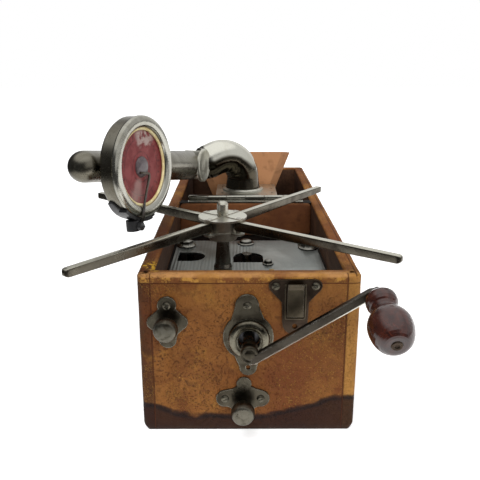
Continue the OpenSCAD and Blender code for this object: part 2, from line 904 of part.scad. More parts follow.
module brake_knob_plate() {
    color("gray")
        on_front(brake_x, 0)
            linear_extrude(fitting_t)
                difference() {
                    translate([0, brake_z])
                        polygon(concat(
                            arc([9.3, brake_screw_z - brake_z], 4.7, -100, 75), [[6.6, 9.4]],
                            arc([0.6, 12.2], 3.9, -20, 200), [[-5, 9.4]],
                            arc([-9.3, brake_screw_z - brake_z], 4.7, 105, 280),
                            arc([0, 3], 8, 215, 325)
                        ));
                    translate([0, brake_z]) circle(knob_hole_r);
                }
}

// All the round-headed screws of the front fittings
module fitting_screws() {
    spots = [
        [speed_x, speed_screw_z], [-1, escutcheon_top], [catch_x - ear_out, ear_z], [catch_x + ear_out, ear_z],
        [brake_x - 9.3, brake_screw_z], [brake_x + 9.3, brake_screw_z]
    ];
    color("gainsboro")
        for (spot = spots)
            on_front(spot[0], spot[1])
                translate([0, 0, fitting_t])
                    difference() {
                        rotate_extrude() polygon([[0, 0], [2.1, 0], [1.9, 0.6], [1.2, 1.1], [0, 1.3]]);
                        rotate(25) translate([-3, -0.25, 0.7]) cube([6, 0.5, 2]);
                    }
}

module brake_knob() {
    color("silver")
        on_front(brake_x, brake_z)
            union() {
                knurled_knob(brake_knob_r, 6, knob_out, 28);
                translate([0, 0, fitting_t + seat]) cylinder(h = 6, r = 3.2);
                translate([0, 0, -(brake_tip_y - front_y)])
                    cylinder(h = brake_tip_y - front_y + 4, r = knob_shaft_r);
                translate([0, 1, -(brake_tip_y - front_y)]) cylinder(h = 3.4, r = 2.4);
            }
}

brake_lever_z = brake_z - 1.2;
brake_lever_t = 2.4;
brake_pin = [spindle_x + 2, spindle_y - 20];
brake_tail = [brake_x - 4.6, brake_tip_y - 2];
brake_pad = [spindle_x - 6.6, spindle_y - 6.6];

// Brake lever below the motor, with a felt pad beside the drum
module brake_lever() {
    color("dimgray")
        difference() {
            translate([0, 0, brake_lever_z])
                linear_extrude(brake_lever_t)
                    union() {
                        translate(brake_pin) circle(3.2);
                        strip(brake_pin, brake_tail, 2.6);
                        strip(brake_pin, [brake_pad[0] - 5, brake_pad[1] - 5], 2.6);
                        strip([brake_pad[0] - 5.9, brake_pad[1] - 5.9], [brake_pad[0] + 0.5, brake_pad[1] + 0.5], 4.4);
                    }
            translate([brake_pin[0], brake_pin[1], 0]) cylinder(h = 100, r = pivot_r + fit);
        }
}

/* Winding crank */

bevel_y = barrel_y - crown_r;
bar_y = front_y - crank_out;
handle_x = crank_len * cos(crank_angle);
handle_z = shaft_z + crank_len * sin(crank_angle);

// Winding shaft with the pinion that turns the crown wheel
module winding_shaft() {
    color("silver")
        translate([0, 0, shaft_z])
            rotate([90, 0, 0])
                union() {
                    translate([0, 0, -bevel_y - crown_face / 2])
                        cylinder(h = crown_face / 2 + bevel_y - bar_y - crank_t / 2, r = shaft_r);
                    translate([0, 0, -bevel_y - crown_face / 2 + 0.1])
                        linear_extrude(crown_face - 0.2)
                            gear_outline(bevel_teeth, 2 * bevel_r / bevel_teeth, -90);
                }
}

// Flat crank bar with a turned boss at the shaft and a round eye at the handle
module crank_arm() {
    color("darkgray")
        translate([0, bar_y, shaft_z])
            rotate([90, 0, 0])
                difference() {
                    union() {
                        translate([0, 0, -crank_t / 2])
                            linear_extrude(crank_t)
                                union() {
                                    rotate(crank_angle) translate([0, -crank_w / 2]) square([crank_len, crank_w]);
                                    circle(4.4);
                                    rotate(crank_angle) translate([crank_len, 0]) circle(4);
                                }
                        rotate_extrude()
                            polygon([
                                [0, crank_t / 2], [3.3, crank_t / 2], [3.1, crank_t / 2 + 0.8],
                                [2.2, crank_t / 2 + 1.3], [0, crank_t / 2 + 1.5]
                            ]);
                        translate([0, 0, -crank_t / 2 - 6.5])
                            rotate_extrude()
                                polygon([[shaft_r, 0], [3.9, 0], [4.2, 0.9], [3.6, 2], [3.6, 6.5], [shaft_r, 6.5]]);
                    }
                    rotate(crank_angle) translate([crank_len, 0, -crank_t]) cylinder(h = 2 * crank_t, r = pivot_r);
                }
}

// Puts a part on the handle's leaning axis, with its length outwards from the crank bar
module on_handle() {
    translate([handle_x, bar_y, handle_z]) rotate([90 + handle_lean, 0, handle_splay]) children();
}

handle_start = crank_t / 2 + 2;

module handle_pin() {
    color("silver")
        union() {
            translate([handle_x, bar_y + crank_t / 2, handle_z])
                rotate([90, 0, 0])
                    cylinder(h = crank_t + 0.9, r = pivot_r);
            on_handle()
                rotate_extrude()
                    polygon([
                        [0, crank_t / 2 + 0.6], [pivot_r, crank_t / 2 + 0.6], [pivot_r, handle_start + handle_len + seat],
                        [2.7, handle_start + handle_len + seat], [2.3, handle_start + handle_len + 0.8],
                        [1.3, handle_start + handle_len + 0.8], [1, handle_start + handle_len + 0.3], [0, handle_start + handle_len + 0.3]
                    ]);
        }
}

// Turned wooden handle: a rounded small end, a grooved waist and a full bulb
module crank_handle() {
    bore = pivot_r + fit;
    l = handle_len;
    small = [[0, 0.6], [0.03, 0.82], [0.08, 0.97], [0.13, 1], [0.19, 0.97], [0.235, 0.86]];
    grow = handle_r - waist_r;
    front_r = 0.45 * handle_r;
    color("saddlebrown")
        on_handle()
            translate([0, 0, handle_start + seat])
                rotate_extrude()
                    polygon(concat(
                        [[bore, 0]],
                        [for (p = small) [handle_end_r * p[1], l * p[0]]],
                        [[waist_r + 0.2, l * 0.25], [waist_r + 0.5, l * 0.27], [waist_r, l * 0.31]],
                        [for (t = [0:8]) [waist_r + grow * sin(90 * t / 8), l * (0.34 + 0.31 * t / 8)]],
                        [for (t = [1:8]) [front_r + (handle_r - front_r) * cos(90 * t / 8), l * (0.65 + 0.35 * sin(90 * t / 8))]],
                        [[bore, l]]
                    ));
}

/* Hinge and tonearm base */

knuckle_r = 1.8;
knuckle_count = 6;
knuckle_pitch = 14;
knuckle_gap = 0.4;
hinge_len = knuckle_count * knuckle_pitch;
hinge_y = partition_y + partition_t + 1.4;
hinge_z = case_h + knuckle_r;
leaf_t = 1;
hinge_pin_r = 0.8;

module hinge_knuckles(first) {
    for (i = [first:2:knuckle_count - 1])
        translate([-hinge_len / 2 + i * knuckle_pitch + knuckle_gap / 2, hinge_y, hinge_z])
            rotate([0, 90, 0])
                cylinder(h = knuckle_pitch - knuckle_gap, r = knuckle_r);
}

module hinge_bore() {
    translate([-hinge_len / 2 - 1, hinge_y, hinge_z])
        rotate([0, 90, 0])
            cylinder(h = hinge_len + 2, r = hinge_pin_r);
}

module hinge_front_leaf() {
    color("silver")
        difference() {
            union() {
                hinge_knuckles(0);
                for (i = [0:2:knuckle_count - 1])
                    translate([-hinge_len / 2 + i * knuckle_pitch + knuckle_gap / 2, hinge_y - 3, case_h])
                        cube([knuckle_pitch - knuckle_gap, 3, leaf_t]);
                translate([-hinge_len / 2, partition_y, case_h])
                    cube([hinge_len, hinge_y - partition_y - 2.4, leaf_t]);
            }
            hinge_bore();
        }
}

rear_leaf_l = 8;

module hinge_rear_leaf() {
    color("silver")
        difference() {
            union() {
                hinge_knuckles(1);
                for (i = [1:2:knuckle_count - 1])
                    translate([-hinge_len / 2 + i * knuckle_pitch + knuckle_gap / 2, hinge_y, case_h])
                        cube([knuckle_pitch - knuckle_gap, 3, leaf_t]);
                translate([-hinge_len / 2, hinge_y + 2.4, case_h])
                    cube([hinge_len, rear_leaf_l, leaf_t]);
            }
            hinge_bore();
        }
}

module hinge_pin() {
    color("gray")
        translate([-hinge_len / 2 - 0.6, hinge_y, hinge_z])
            rotate([0, 90, 0])
                cylinder(h = hinge_len + 1.2, r = hinge_pin_r);
}

base_x = -base_left;
base_y = front_y + base_back;
base_plate_z = case_h + leaf_t;
base_plate_w = 46;
base_plate_x = 1;
base_plate_t = 1.5;
base_plate_y0 = hinge_y + 3.2;
base_plate_y1 = base_y + neck_r + 4;
pipe_r = neck_r - 1;
base_screw_spots = [[-17.5, base_y + 9], [base_plate_x + 19.5, base_y + 2], [-17.5, base_y - 14], [base_plate_x + 19.5, base_y - 14]];

// Nickel plate on the hinge leaf that carries the tonearm over the sound passage
module tonearm_base_plate() {
    color("silver")
        translate([0, 0, base_plate_z])
            linear_extrude(base_plate_t)
                difference() {
                    translate([base_plate_x - base_plate_w / 2, base_plate_y0])
                        square([base_plate_w, base_plate_y1 - base_plate_y0]);
                    translate([base_x, base_y]) circle(pipe_r - tube_wall);
                    for (spot = base_screw_spots) translate(spot) circle(1.2);
                }
}

flange_z = base_plate_z + base_plate_t;
flange_h = 2;

// Ring on the base plate in which the gooseneck's foot turns
module tonearm_flange() {
    color("gray")
        translate([base_x, base_y, flange_z])
            rotate_extrude()
                polygon([
                    [neck_r + 0.1, 0], [neck_r + 2.6, 0], [neck_r + 2.4, 1], [neck_r + 1.2, flange_h], [neck_r + 0.1, flange_h]
                ]);
}

/* Sound passage and horn */

throat_y = front_y + throat_back;
elbow_r = (throat_y - base_y) / 2;
elbow_z = floor_t + 2.5 + elbow_r + pipe_r;

// U-shaped sound pipe from below the tonearm to the throat of the horn
module sound_elbow() {
    color("dimgray")
        difference() {
            union() {
                translate([base_x, base_y + elbow_r, elbow_z])
                    rotate([0, 90, 0])
                        rotate([0, 0, -90])
                            rotate_extrude(angle = 180)
                                translate([elbow_r, 0]) circle(pipe_r);
                translate([base_x, base_y, elbow_z]) cylinder(h = base_plate_z - elbow_z, r = pipe_r);
                translate([base_x, throat_y, elbow_z]) cylinder(h = 5, r = pipe_r);
                translate([base_x, base_y, base_plate_z - 3]) cylinder(h = 3, r = pipe_r + 1.8);
            }
            translate([base_x, base_y + elbow_r, elbow_z])
                rotate([0, 90, 0])
                    rotate([0, 0, -90])
                        rotate_extrude(angle = 180)
                            translate([elbow_r, 0]) circle(pipe_r - tube_wall);
            translate([base_x, base_y, elbow_z - 0.01]) cylinder(h = 90, r = pipe_r - tube_wall);
            translate([base_x, throat_y, elbow_z - 0.01]) cylinder(h = 20, r = pipe_r - tube_wall);
        }
}

saddle_l = 10;

module elbow_saddle() {
    color("burlywood")
        difference() {
            translate([base_x - pipe_r - 2, base_y + elbow_r - saddle_l / 2, floor_t])
                cube([2 * pipe_r + 4, saddle_l, pipe_r]);
            translate([base_x, base_y + elbow_r, elbow_z])
                rotate([0, 90, 0])
                    rotate_extrude()
                        translate([elbow_r, 0]) circle(pipe_r);
        }
}

throat_z = elbow_z + 5;
rim_level_w = 50;
rim_level_d = 46;
rim_level_y = throat_y + 2;
mouth_y = throat_y + 13.5;

// Eight-sided level section of the horn: a rectangle with its corners cut by the gussets
function horn_section(w, d, y, z, fall) = let (c = gusset_w, slope = fall / d) [
    for (p = [
        [w / 2 - c, -d / 2], [w / 2, -d / 2 + c], [w / 2, d / 2 - c], [w / 2 - c, d / 2],
        [-w / 2 + c, d / 2], [-w / 2, d / 2 - c], [-w / 2, -d / 2 + c], [-w / 2 + c, -d / 2]
    ]) [base_x + p[0], y + p[1], z - slope * (p[1] + d / 2)]
];

module horn_form(shrink, low, high) {
    bore = 2 * (pipe_r + 2);
    levels = [
        horn_section(bore - 2 * shrink, bore - 2 * shrink, throat_y, throat_z - low, 0),
        horn_section(rim_level_w - 2 * shrink, rim_level_d - 2 * shrink, rim_level_y, case_h - 8, 0),
        horn_section(mouth_w - 2 * shrink, mouth_d - 2 * shrink, mouth_y, mouth_z + high, mouth_fall)
    ];
    points = concat(levels[0], levels[1], levels[2]);
    sides = [
        for (k = [0:1])
            for (i = [0:7])
                each [
                    [8 * k + i, 8 * k + (i + 1) % 8, 8 * k + 8 + i],
                    [8 * k + (i + 1) % 8, 8 * k + 8 + (i + 1) % 8, 8 * k + 8 + i]
                ]
    ];
    polyhedron(points, concat(
        [for (f = sides) [f[0], f[2], f[1]]],
        [[for (i = [0:7]) i]],
        [[for (i = [7:-1:0]) 16 + i]]
    ));
}

// Standing leather horn with gusseted corners, open at the mouth
module horn() {
    color("sienna")
        difference() {
            horn_form(0, 0, 0);
            horn_form(horn_t, 0.5, 0.5);
        }
}

/* Tonearm */

neck_axis_z = neck_top - neck_bend;
neck_straight = 12;
collar_w = 5;
neck_foot_z = flange_z;

// Turns the vertical plane of the gooseneck to its bearing, with its foot at the origin
module neck_frame() {
    translate([base_x, base_y, 0]) rotate([0, 0, neck_bearing]) children();
}

function neck_end() = [
    base_x + (neck_bend + neck_bend * sin(neck_drop) + neck_straight * cos(neck_drop)) * cos(neck_bearing),
    base_y + (neck_bend + neck_bend * sin(neck_drop) + neck_straight * cos(neck_drop)) * sin(neck_bearing),
    neck_axis_z + neck_bend * cos(neck_drop) - neck_straight * sin(neck_drop)
];

module neck_solid(shrink, extra, lap) {
    neck_frame() {
        translate([0, 0, neck_foot_z - extra])
            cylinder(h = neck_axis_z - neck_foot_z + extra + lap, r1 = neck_r - shrink, r2 = neck_end_r - shrink);
        translate([neck_bend, 0, neck_axis_z])
            rotate([90, 0, 0])
                rotate([0, 0, 90 - neck_drop])
                    rotate_extrude(angle = 90 + neck_drop)
                        translate([neck_bend, 0]) circle(neck_end_r - shrink);
        translate([neck_bend, 0, neck_axis_z])
            rotate([0, 90 + neck_drop, 0])
                translate([-neck_bend, 0, -lap])
                    cylinder(h = neck_straight + extra + lap, r = neck_end_r - shrink);
    }
}

// Swan-necked bend that turns on the base plate and ends in half of the collar
module gooseneck() {
    color("silver")
        difference() {
            union() {
                difference() {
                    neck_solid(0, 0, 0.01);
                    collar_frame() translate([0, 0, -2]) cylinder(h = 40, r = 30);
                }
                collar_frame()
                    translate([0, 0, -collar_w])
                        rotate_extrude()
                            polygon([
                                [0, 0], [neck_end_r - 1, 0], [neck_end_r + 1, collar_w - 1.4],
                                [neck_end_r + 1, collar_w], [0, collar_w]
                            ]);
            }
            difference() {
                neck_solid(tube_wall, 0.5, 0.01);
                collar_frame() translate([0, 0, -2]) cylinder(h = 40, r = 30);
            }
            collar_frame()
                translate([0, 0, -spigot_len - 0.3])
                    cylinder(h = spigot_len + 1, r = neck_end_r - tube_wall);
        }
}

elbow_len = 3;
tube_dir = bearing_vector(tube_bearing, tube_rise);
swivel_gap = seat;
elbow_at = neck_end() + (elbow_len + swivel_gap) * bearing_vector(neck_bearing, 0);

module tube_frame() {
    translate(elbow_at) rotate([0, 90 - tube_rise, tube_bearing]) children();
}

// Half profile of the tone tube, with a round elbow end and a domed far end
module tube_profile(shrink) {
    intersection() {
        union() {
            circle(tube_r - shrink);
            polygon([[0, 0], [tube_r - shrink, 0], [dome_r - shrink, tube_len], [0, tube_len]]);
            translate([0, tube_len]) circle(dome_r - shrink);
        }
        translate([0, -big / 2]) square([big, 2 * big]);
    }
}

// Puts a part on the collar's axis, with its length towards the tone tube
module collar_frame() {
    translate(neck_end()) rotate([0, 90, neck_bearing]) children();
}

spigot_r = neck_end_r - tube_wall - fit;
spigot_len = 4;

// Straight tapered tube with a round elbow and a spigot at the collar, and a domed far end
module tone_tube() {
    color("gray")
        difference() {
            union() {
                difference() {
                    tube_frame()
                        rotate_extrude()
                            difference() {
                                tube_profile(0);
                                tube_profile(tube_wall);
                            }
                    collar_frame() translate([0, 0, -30]) cylinder(h = 30 + swivel_gap + 0.4, r = 30);
                }
                collar_frame()
                    rotate_extrude()
                        polygon([
                            [spigot_r - tube_wall, -spigot_len], [spigot_r, -spigot_len], [spigot_r, swivel_gap],
                            [neck_end_r + 1, swivel_gap], [neck_end_r + 1, swivel_gap + 1.2],
                            [tube_r - 0.3, swivel_gap + elbow_len], [spigot_r - tube_wall, swivel_gap + elbow_len - 0.6]
                        ]);
                difference() {
                    on_soundbox()
                        translate([0, 0, -box_out])
                            cylinder(h = box_out - box_t, r = stem_r);
                    tube_frame() cylinder(h = tube_len, r1 = tube_r - 0.4, r2 = dome_r - 0.4);
                }
            }
            on_soundbox()
                translate([0, 0, -box_out])
                    cylinder(h = box_out, r = stem_r - tube_wall);
            collar_frame() translate([0, 0, -spigot_len - 1]) cylinder(h = spigot_len + 4.3, r = spigot_r - tube_wall);
        }
}

/* Soundbox */

stem_r = 6.5;
box_point = elbow_at + box_along * tube_dir;
rim_w = 6;
gasket_w = 1.6;
face_sink = 3.2;

// Puts a part on the soundbox: x to its far side, y upwards and z out of its face
module on_soundbox() {
    translate(box_point) rotate([90, 0, box_bearing]) rotate([-box_tilt, 0, 0]) translate([0, 0, box_out]) children();
}

module soundbox_shell() {
    color("gray")
        on_soundbox()
            rotate_extrude()
                polygon([
                    [stem_r - tube_wall, -box_t], [box_r - 2.4, -box_t], [box_r - 1, -box_t + 0.6], [box_r - 0.4, -box_t + 1.6],
                    [box_r - 0.4, -2.6], [box_r - rim_w, -2.6], [box_r - rim_w, -4.4], [box_r - rim_w - 2, -4.4],
                    [stem_r + 3, 2 - box_t], [stem_r - tube_wall, 2 - box_t]
                ]);
}

module soundbox_bezel() {
    color("silver")
        on_soundbox()
            rotate_extrude()
                polygon([
                    [box_r - rim_w, -2.6], [box_r, -2.6], [box_r, -0.9], [box_r - 0.5, -0.25], [box_r - 1.4, 0],
                    [box_r - rim_w + 1, -0.2], [box_r - rim_w + 0.3, -0.6], [box_r - rim_w, -1.2]
                ]);
}

module soundbox_gasket() {
    color("khaki")
        on_soundbox()
            translate([0, 0, -2.3])
                rotate_extrude()
                    translate([box_r - rim_w - gasket_w / 2, 0])
                        circle(gasket_w / 2, $fn = 24);
}

// Mica disc faced with plain red paper, with a boss at its centre
module soundbox_diaphragm() {
    color("firebrick")
        on_soundbox()
            rotate_extrude()
                polygon([
                    [0, -3.9], [box_r - rim_w, -3.9], [box_r - rim_w, -3.2], [4.4, -3.2], [4.2, -2.6], [2, -2.3], [0, -2.3]
                ]);
}

bar_end = box_r - 4;
bar_lean = 11;

// Thin sprung bar from the boss to the chuck, with a crosspiece at its upper end
module stylus_bar() {
    color("dimgray")
        on_soundbox()
            translate([2.4, 0, 0])
                rotate([0, 0, -bar_lean])
                    union() {
                        translate([-0.8, 0, 0])
                            rotate([90, 0, 90])
                                linear_extrude(1.6)
                                    polygon([
                                        [0.6, -2.3], [0.6, -1.5], [6 - bar_end, 0.3], [-bar_end - 2, 0.9], [-bar_end - 2, 0.1],
                                        [6 - bar_end, -0.7], [-1, -2.3]
                                    ]);
                        translate([-5.4, -3.4, -2.3]) linear_extrude(0.9) square([7, 1.2]);
                    }
}

chuck_x = -12.5;
chuck_r = 3.6;
chuck_low = 31.6;
chuck_depth = -3.4;
chuck_screw_up = 2.5;

// Black chuck on the rim: a curved pad and an upright socket for the needle
module needle_chuck() {
    color("black")
        on_soundbox()
            difference() {
                union() {
                    rotate([0, 0, -136])
                        translate([0, 0, -5.6])
                            rotate_extrude(angle = 52)
                                translate([box_r + 0.02, 0]) square([1.8, 4.6]);
                    translate([chuck_x, -chuck_low, chuck_depth])
                        rotate([-90, 0, 0])
                            cylinder(h = chuck_low - sqrt(pow(box_r + 0.6, 2) - pow(abs(chuck_x) - chuck_r, 2)), r = chuck_r);
                }
                translate([chuck_x, -chuck_low - 1, chuck_depth]) rotate([-90, 0, 0]) cylinder(h = 6, r = 0.9);
                translate([chuck_x, -chuck_low + chuck_screw_up, chuck_depth])
                    cylinder(h = 10, r = 0.9 + fit);
            }
}

// Knurled screw that clamps the needle
module needle_screw() {
    color("black")
        on_soundbox()
            translate([chuck_x, -chuck_low + chuck_screw_up, chuck_depth])
                union() {
                    translate([0, 0, 1.2]) cylinder(h = chuck_r + 1, r = 0.9);
                    translate([0, 0, chuck_r + 0.4]) knurled_knob(2.2, 0, 3.2, 12);
                }
}

front_board();
back_board();
side_board(-1);  // left_board
side_board(1);  // right_board
floor_board();
partition_board();
leather_cover();
partition_facing();
motor_bearers();
motor_plate();
motor_lower_plate();
motor_pillars();
motor_plate_screws();
spindle_bush();
speed_knob_plate();
winding_escutcheon();
catch_plate();
brake_knob_plate();
fitting_screws();
winding_bush();
hinge_front_leaf();
hinge_rear_leaf();
hinge_pin();
tonearm_base_plate();
tonearm_flange();
sound_elbow();
elbow_saddle();
horn();
catch_tongue();
spring_barrel();
mainspring();
barrel_arbor();
second_wheel();
spindle();
turntable_hub();
arm_rivets();
folding_arm(arm_bearings[0]);  // arm_front_right
folding_arm(arm_bearings[1]);  // arm_back_right
folding_arm(arm_bearings[2]);  // arm_back_left
folding_arm(arm_bearings[3]);  // arm_front_left
governor_shaft();
governor_weights();
speed_knob();
speed_lever();
brake_knob();
brake_lever();
winding_shaft();
crank_arm();
handle_pin();
crank_handle();
gooseneck();
tone_tube();
soundbox_shell();
soundbox_bezel();
soundbox_gasket();
soundbox_diaphragm();
stylus_bar();
needle_chuck();
needle_screw();
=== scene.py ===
"""Looks for a portable gramophone in a leather covered case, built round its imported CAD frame."""
import json
import logging
import math
from collections.abc import Callable
from dataclasses import dataclass
from enum import Enum
from functools import cached_property

import bpy
import numpy as np
from mathutils import Euler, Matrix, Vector


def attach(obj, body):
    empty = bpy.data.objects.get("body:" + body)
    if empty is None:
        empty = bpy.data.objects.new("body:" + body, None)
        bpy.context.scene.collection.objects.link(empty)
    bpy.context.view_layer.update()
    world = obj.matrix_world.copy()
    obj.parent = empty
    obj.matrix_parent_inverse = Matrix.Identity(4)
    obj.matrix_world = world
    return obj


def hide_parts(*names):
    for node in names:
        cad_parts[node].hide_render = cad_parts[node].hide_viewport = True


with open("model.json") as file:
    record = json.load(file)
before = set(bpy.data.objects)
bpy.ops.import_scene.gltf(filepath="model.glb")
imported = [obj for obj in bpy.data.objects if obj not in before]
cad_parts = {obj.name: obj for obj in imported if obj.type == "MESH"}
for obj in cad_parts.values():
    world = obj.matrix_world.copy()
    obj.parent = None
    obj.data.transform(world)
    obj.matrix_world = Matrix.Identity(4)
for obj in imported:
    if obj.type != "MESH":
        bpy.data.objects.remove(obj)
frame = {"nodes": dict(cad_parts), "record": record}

log = logging.getLogger("gramophone")
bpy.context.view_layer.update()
Triple = tuple[float, float, float]
Socket = bpy.types.NodeSocket
Shape = tuple[np.ndarray, list[list[int]]]
Materials = dict[str, bpy.types.Material]


# Shader trees

class Value:
    """A number in a shader tree: Python's own signs add the Math nodes."""

    def __init__(self, graph: "Graph", socket: Socket) -> None:
        """Keeps the tree and the output that gives the number."""
        self.graph, self.socket = graph, socket

    def math(self, operation: str, other: object = 0.0, clamp: bool = False) -> "Value":
        """Adds a Math node after this value."""
        return self.graph.value("Math", {"operation": operation, "use_clamp": clamp}, i0=self, i1=other)

    def __add__(self, other: object) -> "Value":
        """The sum."""
        return self.math("ADD", other)

    def __sub__(self, other: object) -> "Value":
        """The difference."""
        return self.math("SUBTRACT", other)

    def __mul__(self, other: object) -> "Value":
        """The product."""
        return self.math("MULTIPLY", other)

    def __abs__(self) -> "Value":
        """The value without its sign."""
        return self.math("ABSOLUTE")

    def span(self, low: object, high: object, to_low: float = 0.0, to_high: float = 1.0) -> "Value":
        """Maps a range smoothly onto another."""
        return self.graph.value("MapRange", {"interpolation_type": "SMOOTHSTEP"}, Value=self, From_Min=low,
                                From_Max=high, To_Min=to_low, To_Max=to_high)


class Graph:
    """A shader node tree that is filled node by node."""

    def __init__(self, tree: bpy.types.NodeTree) -> None:
        """Keeps the tree."""
        self.tree = tree

    @cached_property
    def where(self) -> Socket:
        """The object coordinates, in metres."""
        return self.node("TexCoord").outputs["Object"]

    @cached_property
    def place(self) -> tuple[Value, Value, Value]:
        """The x, y and z of the object coordinates."""
        return self.split(self.where)

    def node(self, kind: str, settings: dict | None = None, **inputs: object) -> bpy.types.Node:
        """Adds a node and fills its inputs with values or links.

        Args:
            kind: the node's type name without the word ShaderNode.
            settings: properties of the node itself.
            inputs: input names, with _ for a space, or i and a number for an input's place.

        Returns:
            The new node.
        """
        made = self.tree.nodes.new("ShaderNode" + kind)
        for key, value in (settings or {}).items():
            setattr(made, key, value)
        for key, value in inputs.items():
            self.put(made.inputs[int(key[1:]) if key[1:].isdigit() else key.replace("_", " ")], value)
        return made

    def value(self, kind: str, settings: dict | None = None, output: object = 0, **inputs: object) -> Value:
        """Adds a node that gives a number."""
        return Value(self, self.node(kind, settings, **inputs).outputs[output])

    def put(self, socket: Socket, value: object) -> None:
        """Links an output to a socket, or writes a number or colour on it.

        Args:
            socket: the input.
            value: a Value, an output socket, a number or a tuple of three.
        """
        value = value.socket if isinstance(value, Value) else value
        if isinstance(value, Socket):
            self.tree.links.new(value, socket)
        else:
            socket.default_value = (*value, 1.0) if socket.type == "RGBA" else value

    def split(self, vector: Socket) -> tuple[Value, Value, Value]:
        """Takes a vector apart."""
        return tuple(Value(self, part) for part in self.node("SeparateXYZ", None, Vector=vector).outputs)

    def mix(self, factor: Value, first: object, second: object) -> Socket:
        """Mixes two colours."""
        settings = {"data_type": "RGBA", "clamp_factor": True}
        return self.node("Mix", settings, i0=factor, i6=first, i7=second).outputs[2]

    def noise(self, scale: object, detail: float = 4.0, rough: float = 0.55, warp: float = 0.0,
              where: object = None) -> Value:
        """Adds a Noise Texture."""
        return self.value("TexNoise", None, Vector=where or self.where, Scale=scale, Detail=detail,
                          Roughness=rough, Distortion=warp)

    def bump(self, height: Value, depth: float, normal: object = None) -> Socket:
        """Adds a Bump node."""
        start = {} if normal is None else {"Normal": normal}
        return self.node("Bump", None, Height=height, Distance=depth, Strength=1.0, **start).outputs[0]

    def masked(self, group: bpy.types.NodeTree, **values: object) -> tuple[Value, Socket]:
        """Places a shared group."""
        outputs = self.node("Group", {"node_tree": group}, **values).outputs
        return Value(self, outputs["Mask"]), outputs[-1]

    def upward(self, normal: str) -> Value:
        """How far a normal points up."""
        return self.split(self.node("NewGeometry").outputs[normal])[2]

    def rays(self) -> list[Value]:
        """Whether a ray comes from the camera, through glass or from a glossy surface."""
        path = self.node("LightPath").outputs
        return [Value(self, path[f"Is {kind} Ray"]) for kind in ("Camera", "Transmission", "Glossy")]


def fresh_graph(owner: bpy.types.Material | bpy.types.World) -> Graph:
    """Empties the node tree of a material or a world.

    Args:
        owner: the material or the world.

    Returns:
        Its tree.
    """
    owner.use_nodes = True
    owner.node_tree.nodes.clear()
    return Graph(owner.node_tree)


class Effects:
    """The effects that several finishes share, each one a shader node group."""

    def __init__(self) -> None:
        """Builds every group once."""
        self.pits = self.group("pits_and_specks", {"Scale": 900.0, "Amount": 0.5}, self.pit_mask)
        # edge mask: rubbed wear on the leather, a painted highlight along the edges of the metal
        self.edges_worn_and_lit = self.group("edge_wear_and_sheen", {"Radius": 0.0006, "Scale": 300.0}, self.edge_mask_worn_and_lit)
        self.patches = self.group("uneven_patches", {"Scale": 30.0, "Low": 0.4, "High": 0.6}, self.patch_mask)

    @staticmethod
    def group(name: str, inputs: dict[str, float], fill: Callable) -> bpy.types.NodeTree:
        """Makes a shader node group.

        Args:
            name: the group's name.
            inputs: its inputs and their values.
            fill: takes the graph and the inputs by name, and returns the outputs by name.

        Returns:
            The group.
        """
        tree = bpy.data.node_groups.new(name, "ShaderNodeTree")
        for key, value in inputs.items():
            made = tree.interface.new_socket(name=key, in_out="INPUT", socket_type="NodeSocketFloat")
            made.default_value = value
        graph, entry = Graph(tree), tree.nodes.new("NodeGroupInput")
        outputs = fill(graph, {key: Value(graph, entry.outputs[key]) for key in inputs})
        for key, value in outputs.items():
            kind = "Float" if isinstance(value, Value) else "Vector"
            tree.interface.new_socket(name=key, in_out="OUTPUT", socket_type="NodeSocket" + kind)
        leave = tree.nodes.new("NodeGroupOutput")
        for key, value in outputs.items():
            graph.put(leave.inputs[key], value)
        return tree

    @staticmethod
    def pit_mask(graph: Graph, take: dict[str, Value]) -> dict[str, object]:
        """Small dark pits and specks: cells of a Voronoi pattern, let through by a slower noise.

        Args:
            graph: the group's tree.
            take: its inputs.

        Returns:
            Its outputs.
        """
        cells = graph.value("TexVoronoi", None, "Distance", Vector=graph.where, Scale=take["Scale"])
        gate = graph.noise(take["Scale"] * 0.16, 3.0, 0.5).span(0.44, 0.66)
        return {"Mask": (cells.span(0.1, 0.34, 1.0, 0.0) * gate).math("MULTIPLY", take["Amount"], True)}

    @staticmethod
    def edge_mask_worn_and_lit(graph: Graph, take: dict[str, Value]) -> dict[str, object]:
        """Edges: where a rounded normal departs from the true one, broken up by noise; rubbed wear on the
        leather, a painted highlight on the metal.

        Args:
            graph: the group's tree.
            take: its inputs.

        Returns:
            Its outputs.
        """
        true = graph.node("NewGeometry").outputs["Normal"]
        soft = graph.node("Bevel", {"samples": 4}, Radius=take["Radius"]).outputs[0]
        same = graph.value("VectorMath", {"operation": "DOT_PRODUCT"}, "Value", i0=soft, i1=true)
        broken = graph.noise(take["Scale"], 5.0, 0.65).span(0.36, 0.62)
        return {"Mask": same.span(0.995, 0.86).math("MULTIPLY", broken, True), "Normal": soft}

    @staticmethod
    def patch_mask(graph: Graph, take: dict[str, Value]) -> dict[str, object]:
        """Broad uneven patches: one slow noise with a finer noise riding on it."""
        return {"Mask": graph.noise(take["Scale"], 6.0, 0.6, 0.6).span(take["Low"], take["High"])}


# Finishes

